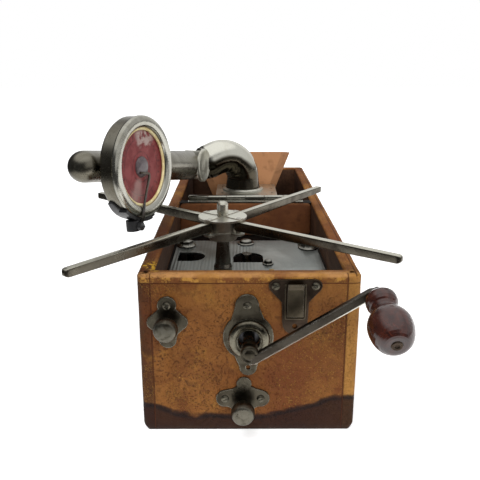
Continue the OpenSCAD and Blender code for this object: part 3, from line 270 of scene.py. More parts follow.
@dataclass(frozen=True)
class Finish:
    """A plain surface with uneven patches and pits, and the base of every other finish."""

    colour: Triple
    second: Triple
    rough: float = 0.5
    metallic: float = 0.0
    coat: float = 0.0
    coat_rough: float = 0.12
    patch: float = 40.0
    pit: float = 900.0
    pit_amount: float = 0.4
    pit_colour: Triple = (0.03, 0.02, 0.015)
    bump_depth: float = 0.00004
    gloss: float = 0.5

    def build(self, name: str, effects: Effects) -> bpy.types.Material:
        """Makes the material.

        Args:
            name: its name.
            effects: the shared groups.

        Returns:
            The material.
        """
        material = bpy.data.materials.new(name)
        graph = fresh_graph(material)
        shader = graph.node("BsdfPrincipled", None, Metallic=self.metallic, Roughness=self.rough,
                            Specular_IOR_Level=self.gloss)
        if self.coat:
            graph.put(shader.inputs["Coat Weight"], self.coat)
            graph.put(shader.inputs["Coat Roughness"], self.coat_rough)
        for key, value in self.paint(graph, effects).items():
            graph.put(shader.inputs[key], value)
        graph.node("OutputMaterial", None, Surface=shader.outputs[0])
        return material

    def paint(self, graph: Graph, effects: Effects) -> dict[str, object]:
        """Works out the shader's changing inputs.

        Args:
            graph: the material's tree.
            effects: the shared groups.

        Returns:
            Base colour, roughness and normal by the shader's own names.
        """
        patches, _ = graph.masked(effects.patches, Scale=self.patch)
        pits, _ = graph.masked(effects.pits, Scale=self.pit, Amount=self.pit_amount)
        colour = graph.mix(pits, graph.mix(patches, self.colour, self.second), self.pit_colour)
        height = graph.noise(self.pit * 1.6, 3.0) - pits
        return self.surface(colour, pits * 0.25 + patches * 0.08, graph.bump(height, self.bump_depth))

    def surface(self, colour: object, rougher: Value, normal: object) -> dict[str, object]:
        """Names the shader's inputs."""
        return {"Base Color": colour, "Roughness": rougher.math("ADD", self.rough, True), "Normal": normal}


@dataclass(frozen=True)
class Metal(Finish):
    """Plated or bare metal with softened edges, faint scratches, tarnish patches and pits, with painted
    highlights and painted shade by edge and slope.
    """

    metallic: float = 1.0
    edge: float = 0.0003
    edge_highlight: Triple = (0.62, 0.59, 0.53)
    # painted highlight on faces that point up, as light falls from above
    top_highlight: Triple | None = None
    # painted light by slope: a colour mixed in as faces turn away from up; painted shade on the neck and
    # fixings, a painted floor reflection on the crank
    painted_slope_colour: Triple | None = None
    painted_slope_span: tuple[float, float] = (-0.5, -0.8)
    ribs: float = 0.0
    rib_depth: float = 0.00012
    rib_fade: tuple[float, float] = (0.012, -0.002)
    streak: Triple | None = None
    streak_depth: float = 0.00001

    def paint(self, graph: Graph, effects: Effects) -> dict[str, object]:
        """Works out plate colour, tarnish, pits, painted highlights on edges and upward faces, painted shade
        and floor reflection by slope, and brushing.

        Args:
            graph: the material's tree.
            effects: the shared groups.

        Returns:
            The shader's inputs.
        """
        patches, _ = graph.masked(effects.patches, Scale=self.patch, Low=0.42, High=0.68)
        pits, _ = graph.masked(effects.pits, Scale=self.pit, Amount=self.pit_amount)
        worn, normal = graph.masked(effects.edges_worn_and_lit, Radius=self.edge, Scale=420.0)
        colour = graph.mix(patches, self.colour, self.second)
        # painted shade and painted reflection by slope, where a finish sets it
        if self.painted_slope_colour is not None:
            colour = graph.mix(graph.upward("Normal").span(*self.painted_slope_span), colour, self.painted_slope_colour)
        # painted highlight on upward faces, broken up by noise
        if self.top_highlight is not None:
            top_lit = graph.upward("True Normal").span(0.6, 0.95)
            colour = graph.mix(top_lit * graph.noise(160.0).span(0.2, 0.45, 0.6), colour, self.top_highlight)
        # painted highlight: the edge mask (worn) lifts the rims toward the bright edge colour
        colour = graph.mix(worn * 0.7, colour, self.edge_highlight)
        colour = graph.mix(pits, colour, self.pit_colour)
        normal = graph.bump(graph.noise(700.0, 3.0) - pits, self.bump_depth, normal)
        if self.streak is not None:
            brushed = graph.node("Mapping", None, Vector=graph.where, Scale=self.streak).outputs[0]
            normal = graph.bump(graph.noise(1.0, 4.0, 0.7, where=brushed), self.streak_depth, normal)
        if self.ribs:
            x = graph.place[0]
            wave = (x * (2 * math.pi / self.ribs)).math("SINE") * 0.5 + 0.5
            lines = wave * x.span(*self.rib_fade, 0.12) * graph.noise(55.0, 3.0).span(0.3, 0.6, 0.35)
            colour = graph.mix(lines * 0.45, colour, self.second)
            normal = graph.bump(lines, self.rib_depth, normal)
        return self.surface(colour, pits * 0.3 + graph.noise(55.0, 5.0, 0.6).span(0.35, 0.7) * 0.1, normal)


@dataclass(frozen=True)
class Paper(Finish):
    """Red paper behind thin mica: plain rings and ticks round its centre, a pale scuffed patch in the mica,
    and a painted glare on it in the same pale colour.
    """

    centre: Triple = (0.0, 0.0, 0.0)
    turn: Triple = (0.0, 0.0, 0.0)
    boss: float = 0.0046
    ring: float = 0.0152
    ring_gap: float = 0.0034
    ticks: float = 34.0
    wedge_at: float = -2.05
    glare_at: float = 1.25
    scuff_and_glare: Triple = (0.5, 0.4, 0.36)
    boss_colour: Triple = (0.03, 0.026, 0.024)

    def paint(self, graph: Graph, effects: Effects) -> dict[str, object]:
        """Works out rings by the distance from the centre and ticks by an angle wave, both broken up.

        Args:
            graph: the material's tree.
            effects: the shared groups.

        Returns:
            The shader's inputs.
        """
        moved = graph.node("VectorMath", {"operation": "SUBTRACT"}, i0=graph.where, i1=self.centre).outputs[0]
        flat = graph.node("VectorRotate", {"rotation_type": "EULER_XYZ", "invert": True}, Vector=moved,
                          Rotation=self.turn).outputs[0]
        across, up, _ = graph.split(flat)
        away = (across * across + up * up).math("SQRT")
        angle = up.math("ARCTAN2", across)
        patches, _ = graph.masked(effects.patches, Scale=self.patch)
        band = abs(away - (self.ring + self.ring_gap / 2)).span(0.0012, 0.0008)
        dark = band * (angle * self.ticks).math("SINE").span(0.25, 0.7)
        rings = (self.ring, 0.00028), (self.ring + self.ring_gap, 0.0002), (self.boss + self.ring_gap, 0.0003)
        for at, half in rings:
            dark = dark.math("MAXIMUM", abs(away - at).span(half * 1.7, half * 0.6))
        dark = dark * graph.noise(380.0, 4.0, 0.7).span(0.38, 0.56)
        wedge = abs(angle - self.wedge_at).span(0.5, 0.12) * away.span(self.boss, self.boss + 0.004)
        wedge = wedge * graph.noise(120.0).span(0.3, 0.6)
        # painted glare: a pale painted reflection on the mica, in the colour of the scuffed patch
        glare = abs(angle - self.glare_at).span(0.6, 0.3) * away.span(0.0085, 0.0125)
        glare = glare * graph.noise(190.0, 5.0, 0.65).span(0.42, 0.56)
        middle = (graph.noise(300.0) * 0.002 + away).span(self.boss + 0.0016, self.boss + 0.0008)
        colour = graph.mix(patches, self.colour, self.second)
        coats = (
            (dark * 0.75, self.pit_colour),
            (wedge * 0.4, self.scuff_and_glare),
            (glare * 0.8, self.scuff_and_glare),
            (middle * 0.92, self.boss_colour))
        for mask, tint in coats:
            colour = graph.mix(mask, colour, tint)
        height = graph.noise(900.0, 3.0) + middle
        return self.surface(colour, patches * 0.15, graph.bump(height, self.bump_depth))


@dataclass(frozen=True)
class Timber(Finish):
    """Wood with long grain along one axis, dark pores and a coat of varnish or wax."""

    along: Triple = (0.0, 0.0, 0.0)
    grain: float = 260.0
    stretch: float = 0.07

    def paint(self, graph: Graph, effects: Effects) -> dict[str, object]:
        """Works out bands and pores in coordinates that are turned along the grain and squeezed.

        Args:
            graph: the material's tree.
            effects: the shared groups.

        Returns:
            The shader's inputs.
        """
        turned = graph.node("Mapping", None, Vector=graph.where, Rotation=self.along).outputs[0]
        squeezed = graph.node("Mapping", None, Vector=turned, Scale=(self.stretch, 1.0, 1.0)).outputs[0]
        bands = graph.noise(self.grain, 6.0, 0.6, 1.2, squeezed)
        pores = graph.noise(self.grain * 7, 2.0, where=squeezed).span(0.62, 0.74)
        patches, _ = graph.masked(effects.patches, Scale=self.patch)
        colour = graph.mix(bands.span(0.32, 0.68), self.colour, self.second)
        colour = graph.mix(pores * self.pit_amount, colour, self.pit_colour)
        colour = graph.mix(patches * 0.45, colour, self.pit_colour)
        return self.surface(colour, bands * 0.15, graph.bump(bands - pores, self.bump_depth))


@dataclass(frozen=True)
class Leather(Finish):
    """Old hide: mottled tan, a fine grain, dark pits and ochre where the edges are rubbed, with painted shade
    below a height where it is set.
    """

    worn: Triple = (0.5, 0.27, 0.06)
    grain: float = 1500.0
    edge: float = 0.0022
    painted_shade_below: float = 0.0
    painted_shade_fade: float = 0.008
    dark: Triple = (0.004, 0.005, 0.004)

    def hide(self, graph: Graph, effects: Effects) -> tuple[Socket, Value, Socket]:
        """Works out the mottled colour, the painted shade below a height, and the grain's height.

        Args:
            graph: the material's tree.
            effects: the shared groups.

        Returns:
            The colour, the height and the normal with softened edges.
        """
        broad, _ = graph.masked(effects.patches, Scale=self.patch, Low=0.36, High=0.66)
        small, _ = graph.masked(effects.patches, Scale=self.patch * 5, Low=0.5, High=0.72)
        pits, _ = graph.masked(effects.pits, Scale=self.pit, Amount=self.pit_amount)
        rubbed, normal = graph.masked(effects.edges_worn_and_lit, Radius=self.edge, Scale=170.0)
        colour = graph.mix(broad, self.colour, self.second)
        coats = (small * 0.45, self.pit_colour), (pits, self.pit_colour), (rubbed * 0.75, self.worn)
        for mask, tint in coats:
            colour = graph.mix(mask, colour, tint)
        # painted shade: below this height the hide fades to the near-black colour, for the shaded recess
        # under the motor plate
        if self.painted_shade_below:
            low = graph.place[2].span(self.painted_shade_below, self.painted_shade_below - self.painted_shade_fade)
            colour = graph.mix(low, colour, self.dark)
        smooth = {"feature": "SMOOTH_F1"}
        cells = graph.value("TexVoronoi", smooth, "Distance", Vector=graph.where, Scale=self.grain)
        return colour, cells * 0.5 + graph.noise(220.0, 5.0) - pits, normal

    def paint(self, graph: Graph, effects: Effects) -> dict[str, object]:
        """Covers the surface with the hide."""
        colour, height, normal = self.hide(graph, effects)
        return self.surface(colour, height * 0.15, graph.bump(height, self.bump_depth, normal))


@dataclass(frozen=True)
class CaseLeather(Leather):
    """The case's hide, with score lines, a tide line over a dark stain, yellow rubbed corners, and a painted
    highlight on the rolled top edge.
    """

    wide: float = 0.112
    tide: tuple[tuple[float, float], ...] = (
        (-56.0, 15.0), (-50.0, 14.4), (-40.0, 10.8), (-27.0, 8.6), (-12.0, 8.4), (8.0, 9.0), (18.0, 11.2),
        (30.0, 14.4), (38.0, 17.0), (46.0, 19.6), (56.0, 18.6))
    tide_top: float = 0.04
    front_y: tuple[float, float] = (-0.1405, -0.1435)
    top_z: tuple[float, float] = (0.0865, 0.0875)
    highlight_roll_z: tuple[float, float] = (0.0862, 0.0872)
    highlight_roll_y: tuple[float, float] = (-0.139, -0.142)
    band_z: tuple[float, float] = (0.0835, 0.0845)
    left_x: tuple[float, float] = (-0.0485, -0.0505)
    left_y: tuple[float, float] = (0.1, -0.13)
    right_x: tuple[float, float] = (0.049, 0.0502)
    plain_x: float = -0.012
    rim_x: float = 0.0532
    crumbs_at: tuple[float, float] = (-0.0475, -0.131)
    score_z: float = 0.0836
    score_x: tuple[float, float] = (-0.0493, 0.0491)
    score: Triple = (0.075, 0.02, 0.006)
    stain: Triple = (0.022, 0.0075, 0.0048)
    ink: Triple = (0.012, 0.006, 0.006)
    shade: Triple = (0.034, 0.0115, 0.005)
    russet: Triple = (0.17, 0.058, 0.018)
    gold: Triple = (0.5, 0.25, 0.05)
    # colour of the painted highlight along the rolled top edge
    rolled: Triple = (0.47, 0.235, 0.085)
    ochre: Triple = (0.36, 0.165, 0.032)
    red: Triple = (0.15, 0.042, 0.013)
    straw: Triple = (0.42, 0.2, 0.048)
    flake: Triple = (0.48, 0.25, 0.06)
    hole: Triple = (0.06, 0.017, 0.006)
    yellow: Triple = (0.72, 0.42, 0.04)

    def over_tide(self, graph: Graph) -> Value:
        """Height above the tide line, a curve over x that wanders with a noise.

        Args:
            graph: the material's tree.

        Returns:
            The height in metres.
        """
        curve = graph.node("FloatCurve", None, Value=graph.place[0] * (1 / self.wide) + 0.5)
        line = curve.mapping.curves[0]
        while len(line.points) < len(self.tide):
            line.points.new(0.5, 0.5)
        for point, (across, up) in zip(line.points, self.tide):
            point.location = (across / 1000 / self.wide + 0.5, up / 1000 / self.tide_top)
        curve.mapping.update()
        wander = graph.noise(60.0, 6.0, 0.6) * 0.008 - 0.004
        return graph.place[2] - (Value(graph, curve.outputs[0]) * self.tide_top + wander)

    def scores(self, graph: Graph, front: Value, top: Value) -> Value:
        """Lines pressed round the front panel and along the right rim.

        Args:
            graph: the material's tree.
            front: mask of the front face.
            top: mask of the rim.

        Returns:
            Their mask.
        """
        x, _, z = graph.place
        wobble = graph.noise(45.0, 3.0) * 0.0006 - 0.0003
        across, left, right = (abs(along - at + wobble).span(0.00045, 0.00015) for along, at in (
            (z, self.score_z), (x, self.score_x[0]), (x, self.score_x[1])))
        rim = abs(x - self.rim_x).span(0.0004, 0.00015) * top
        return (across.math("MAXIMUM", left).math("MAXIMUM", right) * front).math("MAXIMUM", rim)

    def paint(self, graph: Graph, effects: Effects) -> dict[str, object]:
        """Covers the case with hide, then its coats in turn, stains, rubbing and a painted highlight on the
        rolled top edge among them: each is a mask and a colour.

        Args:
            graph: the material's tree.
            effects: the shared groups.

        Returns:
            The shader's inputs.
        """
        colour, height, normal = self.hide(graph, effects)
        x, y, z = graph.place
        noise, over = graph.noise, self.over_tide(graph)
        front, top = y.span(*self.front_y), z.span(*self.top_z)
        lines = self.scores(graph, front, top)
        left = x.span(*self.left_x) * y.span(*self.left_y)
        right = x.span(*self.right_x) * front * noise(70.0, 5.0).span(0.25, 0.6, 0.45)
        band = z.span(*self.band_z) * front
        # painted highlight where the rolled top edge of the front catches light from above
        roll = z.span(*self.highlight_roll_z) * y.span(*self.highlight_roll_y) * noise(60.0, 5.0).span(0.3, 0.6, 0.35)
        aside = abs(x - self.plain_x).span(0.006, 0.03) * 0.55 + 0.4
        flakes = noise(1150.0, 3.0, 0.75).span(0.55, 0.62) * noise(38.0, 5.0, 0.6).span(0.42, 0.62)
        holes = noise(900.0, 4.0, 0.8).span(0.44, 0.38) * (noise(30.0).span(0.42, 0.6) * 0.7 + 0.3)
        mark = abs(over).span(0.0025, 0.0006) * noise(90.0).span(0.3, 0.5, 0.45)
        crumbs_x, crumbs_y = self.crumbs_at
        corner = (abs(x - crumbs_x) + abs(y - crumbs_y)).span(0.012, 0.003)
        coats = (
            (left * 0.72, self.shade),
            (band * 0.75, self.russet),
            (band * noise(150.0, 6.0, 0.7).span(0.47, 0.57), self.gold),
            (roll, self.rolled),
            (noise(42.0, 7.0, 0.68).span(0.52, 0.66) * 0.6, self.ochre),
            (noise(26.0, 6.0, 0.62).span(0.4, 0.62) * aside * 0.8, self.red),
            (right, self.straw),
            (flakes * 0.6, self.flake),
            (holes * 0.7, self.hole),
            (over.span(0.0008, -0.0006) * 0.93, self.stain),
            (mark * 0.9, self.ink),
            (lines * 0.75, self.score),
            (corner * top * noise(420.0).span(0.48, 0.56), self.yellow))
        for mask, tint in coats:
            colour = graph.mix(mask, colour, tint)
        height = height + flakes - holes * 1.5
        return self.surface(colour, height * 0.15, graph.bump(height - lines * 2.0, self.bump_depth, normal))


@dataclass(frozen=True)
class SoundboxFrame:
    """Where the soundbox stands: a point on the tube's axis, then a distance along the axis of its face."""

    point: Triple = (-74.88, -99.61, 134.03)
    out: float = 23.2
    bearing: float = 65.3
    tilt: float = 3.5

    @property
    def turn(self) -> Triple:
        """Its Euler angles in radians."""
        return math.radians(90 - self.tilt), 0.0, math.radians(self.bearing)

    @property
    def axes(self) -> np.ndarray:
        """Its x, y and outward axes, as columns."""
        return np.array(Euler(self.turn).to_matrix())

    def world(self, local: object) -> np.ndarray:
        """Brings points from its own axes, with the bezel's face at the origin, into the frame's."""
        return np.array(self.point) + (np.array(local) + (0.0, 0.0, self.out)) @ self.axes.T


SOUNDBOX = SoundboxFrame()
LENGTHWAYS = (0.0, 0.0, math.pi / 2)
FINISHES: dict[str, Finish] = {
    "case_leather": CaseLeather(
        (0.27, 0.108, 0.026), (0.16, 0.055, 0.013), 0.6, gloss=0.22, patch=34.0, pit=520.0, pit_amount=0.8,
        pit_colour=(0.035, 0.012, 0.006), bump_depth=0.00022, worn=(0.5, 0.25, 0.07)),
    # the facing inside the case, with painted shade low in the recess under the motor plate
    "facing_leather": Leather(
        (0.18, 0.066, 0.024), (0.11, 0.039, 0.016), 0.55, gloss=0.3, patch=30.0, painted_shade_below=0.068,
        pit_colour=(0.02, 0.008, 0.005), bump_depth=0.00012, worn=(0.25, 0.11, 0.04)),
    "horn_leather": Leather(
        (0.455, 0.222, 0.104), (0.385, 0.178, 0.08), 0.6, gloss=0.3, patch=24.0, pit_amount=0.25,
        pit_colour=(0.12, 0.05, 0.02), worn=(0.42, 0.24, 0.11), bump_depth=0.0001),
    "bare_wood": Timber(
        (0.11, 0.055, 0.03), (0.07, 0.034, 0.02), 0.6, gloss=0.3, along=LENGTHWAYS, pit_amount=0.5,
        pit_colour=(0.016, 0.008, 0.006), bump_depth=0.0001),
    # painted shade: near-black wood for the floor board, bearers and partition, where the inside of the case
    # lies in shade
    "painted_shade_wood": Timber(
        (0.012, 0.008, 0.006), (0.007, 0.005, 0.004), 0.7, gloss=0.2, pit_amount=0.5,
        pit_colour=(0.004, 0.003, 0.003), bump_depth=0.0001),
    "handle_wood": Timber(
        (0.058, 0.0125, 0.0065), (0.02, 0.005, 0.004), 0.16, coat=0.6, along=LENGTHWAYS, grain=300.0,
        stretch=0.12, pit_amount=0.25, pit_colour=(0.01, 0.004, 0.003), bump_depth=0.00002),
    "nickel": Metal((0.5, 0.49, 0.43), (0.36, 0.345, 0.29), 0.17, patch=45.0, pit=1300.0, pit_amount=0.35),
    # a lit copy of the tonearm's nickel, brighter than the tube's, with painted shade on faces turned away
    # from up
    "lit_neck_nickel": Metal(
        (0.76, 0.75, 0.66), (0.66, 0.64, 0.55), 0.14, patch=38.0, pit=1300.0, pit_amount=0.25,
        painted_slope_colour=(0.085, 0.073, 0.052), painted_slope_span=(0.3, 0.1)),
    "cap_nickel": Metal(
        (0.7, 0.69, 0.6), (0.5, 0.48, 0.4), 0.36, patch=120.0, pit=700.0, pit_amount=0.8, bump_depth=0.00008),
    # a lit copy of nickel, brighter to paint the highlight on the shadowed winding shaft and spindle
    "lit_pin_nickel": Metal((0.6, 0.58, 0.5), (0.42, 0.4, 0.33), 0.22, patch=60.0, pit=1200.0),
    # its upward faces carry a painted highlight
    "hub_metal": Metal(
        (0.42, 0.38, 0.31), (0.28, 0.25, 0.2), 0.33, 0.92, patch=60.0, pit=1200.0, pit_amount=0.5,
        top_highlight=(0.74, 0.73, 0.64)),
    # bright only on faces that point up, with painted shade on the sides
    "fixing_steel": Metal(
        (0.34, 0.33, 0.29), (0.2, 0.19, 0.165), 0.25, patch=300.0, pit_amount=0.7,
        painted_slope_colour=(0.035, 0.032, 0.026), painted_slope_span=(0.85, 0.45), edge_highlight=(0.3, 0.29, 0.25)),
    "base_nickel": Metal(
        (0.66, 0.65, 0.57), (0.5, 0.485, 0.41), 0.36, patch=90.0, pit_amount=0.8, bump_depth=0.00006),
    # a shaded copy of the tonearm's nickel, darker than the neck's
    "shaded_tube_nickel": Metal(
        (0.27, 0.255, 0.21), (0.16, 0.145, 0.11), 0.24, pit=1200.0, pit_amount=0.6,
        edge_highlight=(0.6, 0.58, 0.5), bump_depth=0.00003),
    # dark steel with a painted reflection of the floor on faces that point down
    "crank_steel": Metal(
        (0.085, 0.075, 0.06), (0.05, 0.042, 0.033), 0.26, patch=70.0, pit=1200.0, pit_amount=0.6,
        bump_depth=0.00005, edge=0.0006, painted_slope_colour=(0.7, 0.69, 0.6), painted_slope_span=(-0.2, -0.45)),
    "mica": Finish(
        (0.06, 0.045, 0.05), (0.1, 0.075, 0.08), 0.28, coat=0.4, patch=260.0, pit_colour=(0.02, 0.015, 0.015),
        bump_depth=0.00005),
    "knob_nickel": Metal(
        (0.165, 0.154, 0.122), (0.09, 0.08, 0.06), 0.36, patch=260.0, pit_amount=0.9, bump_depth=0.00008,
        edge_highlight=(0.55, 0.53, 0.45)),
    "aged_nickel": Metal(
        (0.17, 0.155, 0.115), (0.09, 0.08, 0.056), 0.28, patch=110.0, pit=1100.0, pit_amount=0.8,
        bump_depth=0.00006, edge_highlight=(0.5, 0.48, 0.4)),
    "plate_nickel": Metal(
        (0.088, 0.078, 0.057), (0.046, 0.039, 0.028), 0.27, patch=120.0, pit=1000.0, pit_amount=0.8,
        bump_depth=0.00008, edge_highlight=(0.62, 0.6, 0.5), edge=0.0008),
    "ring_nickel": Metal(
        (0.2, 0.185, 0.14), (0.1, 0.088, 0.064), 0.2, patch=110.0, pit=1000.0, pit_amount=0.7,
        bump_depth=0.00006, edge_highlight=(0.62, 0.6, 0.5), edge=0.0006),
    "aged_bronze": Metal(
        (0.07, 0.05, 0.036), (0.036, 0.026, 0.019), 0.36, patch=90.0, pit=1100.0, pit_amount=0.6,
        edge_highlight=(0.28, 0.23, 0.17), bump_depth=0.00005),
    "catch_metal": Metal(
        (0.13, 0.108, 0.074), (0.08, 0.066, 0.045), 0.34, patch=90.0, pit=1100.0, pit_amount=0.6,
        edge_highlight=(0.45, 0.42, 0.34), bump_depth=0.00005),
    "bright_steel": Metal(
        (0.27, 0.255, 0.215), (0.13, 0.115, 0.09), 0.22, patch=80.0, pit=1200.0, pit_amount=0.5),
    # dark sides, with a painted highlight on the tops of the arms
    "arm_steel": Metal(
        (0.15, 0.135, 0.105), (0.07, 0.06, 0.046), 0.22, patch=75.0, pit=1200.0, pit_amount=0.5,
        top_highlight=(0.62, 0.6, 0.5)),
    "motor_steel": Metal(
        (0.3, 0.315, 0.295), (0.45, 0.475, 0.45), 0.34, patch=26.0, pit=1000.0, pit_amount=0.3,
        edge_highlight=(0.6, 0.61, 0.6), streak=(900.0, 60.0, 900.0), streak_depth=0.00006, ribs=0.0021),
    "brass": Metal((0.4, 0.26, 0.09), (0.26, 0.16, 0.055), 0.28, patch=60.0, edge_highlight=(0.6, 0.44, 0.2)),
    "spring_steel": Metal((0.08, 0.08, 0.085), (0.12, 0.1, 0.08), 0.3, patch=60.0),
    "pipe_metal": Metal((0.16, 0.15, 0.13), (0.09, 0.08, 0.07), 0.45, patch=60.0),
    "black_enamel": Finish(
        (0.012, 0.012, 0.013), (0.02, 0.02, 0.021), 0.3, coat=0.35, patch=90.0, pit_amount=0.3,
        pit_colour=(0.08, 0.075, 0.065), bump_depth=0.00005),
    "gasket_rubber": Finish(
        (0.85, 0.74, 0.42), (0.7, 0.56, 0.26), 0.4, patch=160.0, pit_colour=(0.18, 0.12, 0.05)),
    "red_paper": Paper(
        (0.235, 0.04, 0.04), (0.18, 0.03, 0.031), centre=tuple(SOUNDBOX.world((0, 0, -3.2)) / 1000),
        turn=SOUNDBOX.turn, patch=160.0, pit_amount=0.6, pit_colour=(0.06, 0.012, 0.013), bump_depth=0.00003),
}
RETOUCHED = {
    "shaded_tube_nickel": ("tone_tube", "soundbox_shell"),
    "plate_nickel": ("speed_knob_plate", "winding_escutcheon", "brake_knob_plate"),
    "lit_pin_nickel": ("winding_shaft", "spindle"),
    "base_nickel": ("tonearm_base_plate", "tonearm_flange"),
    # boards inside the case, darkened as painted shade
    "painted_shade_wood": ("floor_board", "motor_bearers", "partition_board"),
    "hub_metal": ("turntable_hub",),
    "catch_metal": ("catch_tongue",),
    "aged_bronze": ("handle_pin",),
    "spring_steel": ("winding_bush",),
}


def dress_nodes(materials: Materials) -> None:
    """Gives every CAD node the finish of its slot in the record, or the one that it is retouched with.

    Args:
        materials: the finishes by name.
    """
    own = {node: finish for finish, nodes in RETOUCHED.items() for node in nodes}
    for part in frame["record"]["subparts"]:
        node = frame["nodes"][part["node"]]
        finish = own.get(part["node"], part["material_slot"])
        node.data.materials.clear()
        node.data.materials.append(materials[finish])
        log.info("%s dressed as %s", part["node"], finish)


# Surfaces

def around(count: int) -> np.ndarray:
    """Angles of points spread evenly over a full turn."""
    return np.linspace(0.0, 2 * np.pi, count, endpoint=False)


def unit(vectors: np.ndarray) -> np.ndarray:
    """Vectors brought to length 1: v / |v|."""
    return vectors / np.linalg.norm(vectors, axis=-1, keepdims=True)


def circle(t: np.ndarray, first: np.ndarray, second: np.ndarray) -> np.ndarray:
    """Directions cos t u + sin t v."""
    return np.cos(t)[:, None] * first + np.sin(t)[:, None] * second


def grid_faces(rows: int, columns: int, close_rows: bool = False) -> np.ndarray:
    """Quads of a grid of points, row by row; each row's end joins its start.

    Args:
        rows: number of rows.
        columns: points in a row.
        close_rows: joins the last row to the first.

    Returns:
        An array of quads.
    """
    i, j = np.meshgrid(np.arange(rows if close_rows else rows - 1), np.arange(columns), indexing="ij")
    i, j = i.ravel(), j.ravel()
    k, m = (i + 1) % rows, (j + 1) % columns
    return np.stack([i * columns + j, i * columns + m, k * columns + m, k * columns + j], axis=1)


def lofted(rows: np.ndarray) -> Shape:
    """Closed surface P(i, j) through rows of points: each row is a loop in j, and a fan closes each end.

    Args:
        rows: array of rows by sides by 3, in millimetres.

    Returns:
        Points in metres and faces, turned outward by the sign of the volume sum(a . (b x c)) / 6.
    """
    count, sides = rows.shape[:2]
    quads = grid_faces(count, sides)
    j = np.arange(sides)
    k, last = (j + 1) % sides, (count - 1) * sides
    start = np.stack([np.full(sides, count * sides), k, j], axis=1)
    end = np.stack([np.full(sides, count * sides + 1), last + j, last + k], axis=1)
    points = np.concatenate([rows.reshape(-1, 3), rows[[0, -1]].mean(1)]) / 1000
    parts = np.concatenate([quads[:, :3], quads[:, [0, 2, 3]], start, end])
    corners = points[parts] - points.mean(0)
    volume = np.einsum("ij,ij->i", corners[:, 0], np.cross(corners[:, 1], corners[:, 2])).sum()
    faces = quads.tolist() + start.tolist() + end.tolist()
    return points, [face[::-1] for face in faces] if volume < 0 else faces


def turned(profile: list[tuple[float, float]], origin: Triple, axis: Triple, sides: int,
           ripple: tuple[int, float] | None = None) -> Shape:
    """Surface of revolution P(i, j) = o + h_i a + r_i (cos t_j u + sin t_j v), r_i + a sin(n t_j) if rippled.

    Args:
        profile: radius and height of each row, in millimetres.
        origin: o in millimetres.
        axis: a.
        sides: points in a row.
        ripple: the wave's count n and depth a, in millimetres; only the widest rows have it.

    Returns:
        Points in metres and faces.
    """
    a = unit(np.array(axis))
    u = unit(np.cross(a, (0.0, 0.0, 1.0) if abs(a[2]) < 0.9 else (1.0, 0.0, 0.0)))
    t = around(sides)
    r, h = np.array(profile).T[:, :, None]
    if ripple:
        r = r + ripple[1] * np.sin(ripple[0] * t) * (r > r.max() * 0.93)
    return lofted(np.array(origin) + h[:, :, None] * a + r[:, :, None] * circle(t, u, np.cross(a, u)))


def swept(path: np.ndarray, side: np.ndarray, up: np.ndarray, outline: np.ndarray) -> Shape:
    """Surface along a path: P(i, j) = c_i + x_ij s_i + y_ij n_i."""
    side, up = np.broadcast_to(side, path.shape), np.broadcast_to(up, path.shape)
    return lofted(path[:, None] + outline[:, :, :1] * side[:, None] + outline[:, :, 1:] * up[:, None])


def soft_box(wide: np.ndarray, high: np.ndarray, power: float, sides: int = 32) -> np.ndarray:
    """Superellipse outlines: x = w / 2 |cos t|^(2/p) sign(cos t), y = h / 2 |sin t|^(2/p) sign(sin t).

    Args:
        wide: w of each row.
        high: h of each row.
        power: p, which squares the shape.
        sides: points in a row.

    Returns:
        An array of rows by sides by 2.
    """
    t = around(sides)
    x, y = (np.sign(f) * np.abs(f) ** (2 / power) / 2 for f in (np.cos(t), np.sin(t)))
    return np.stack([np.outer(wide, x), np.outer(high, y)], axis=2)


def rolled_ring(inner: float, outer: float, levels: Triple, power: float, steps: int, sides: int) -> Shape:
    """Closed ring round Z, half round in front and flat behind: r = m + w cos a, h = b + d sin(a)^p.

    Args:
        inner: radius of the opening.
        outer: radius of the rim.
        levels: height of the back, then b and d.
        power: p.
        steps: points over the front.
        sides: points round the ring.

    Returns:
        Points in millimetres and faces.
    """
    a, t = np.linspace(0.0, np.pi, steps), around(sides)
    back, base, rise = levels
    r = np.append((outer + inner) / 2 + (outer - inner) / 2 * np.cos(a), [inner, outer])[:, None]
    h = np.append(base + rise * np.sin(a) ** power, [back, back])[:, None]
    points = np.stack([r * np.cos(t), r * np.sin(t), h + t * 0], axis=2)
    return points.reshape(-1, 3), grid_faces(steps + 2, sides, True).tolist()


def mesh_object(name: str, shape: Shape) -> bpy.types.Object:
    """Puts arrays into a mesh object in the scene.

    Args:
        name: its name.
        shape: points in metres and faces.

    Returns:
        The object.
    """
    points, faces = shape
    mesh = bpy.data.meshes.new(name)
    mesh.from_pydata(points.tolist(), [], faces)
    mesh.update()
    made = bpy.data.objects.new(name, mesh)
    bpy.context.scene.collection.objects.link(made)
    return made


# Pieces

UP = np.array([0.0, 0.0, 1.0])
FORWARD = np.array([0.0, -1.0, 0.0])
FRONT = -145.0
WINDING_AT = (0.0, 54.0)
SPEED_KNOB_AT = (-41.2, 62.6)
BRAKE_KNOB_AT = (-3.1, 15.9)


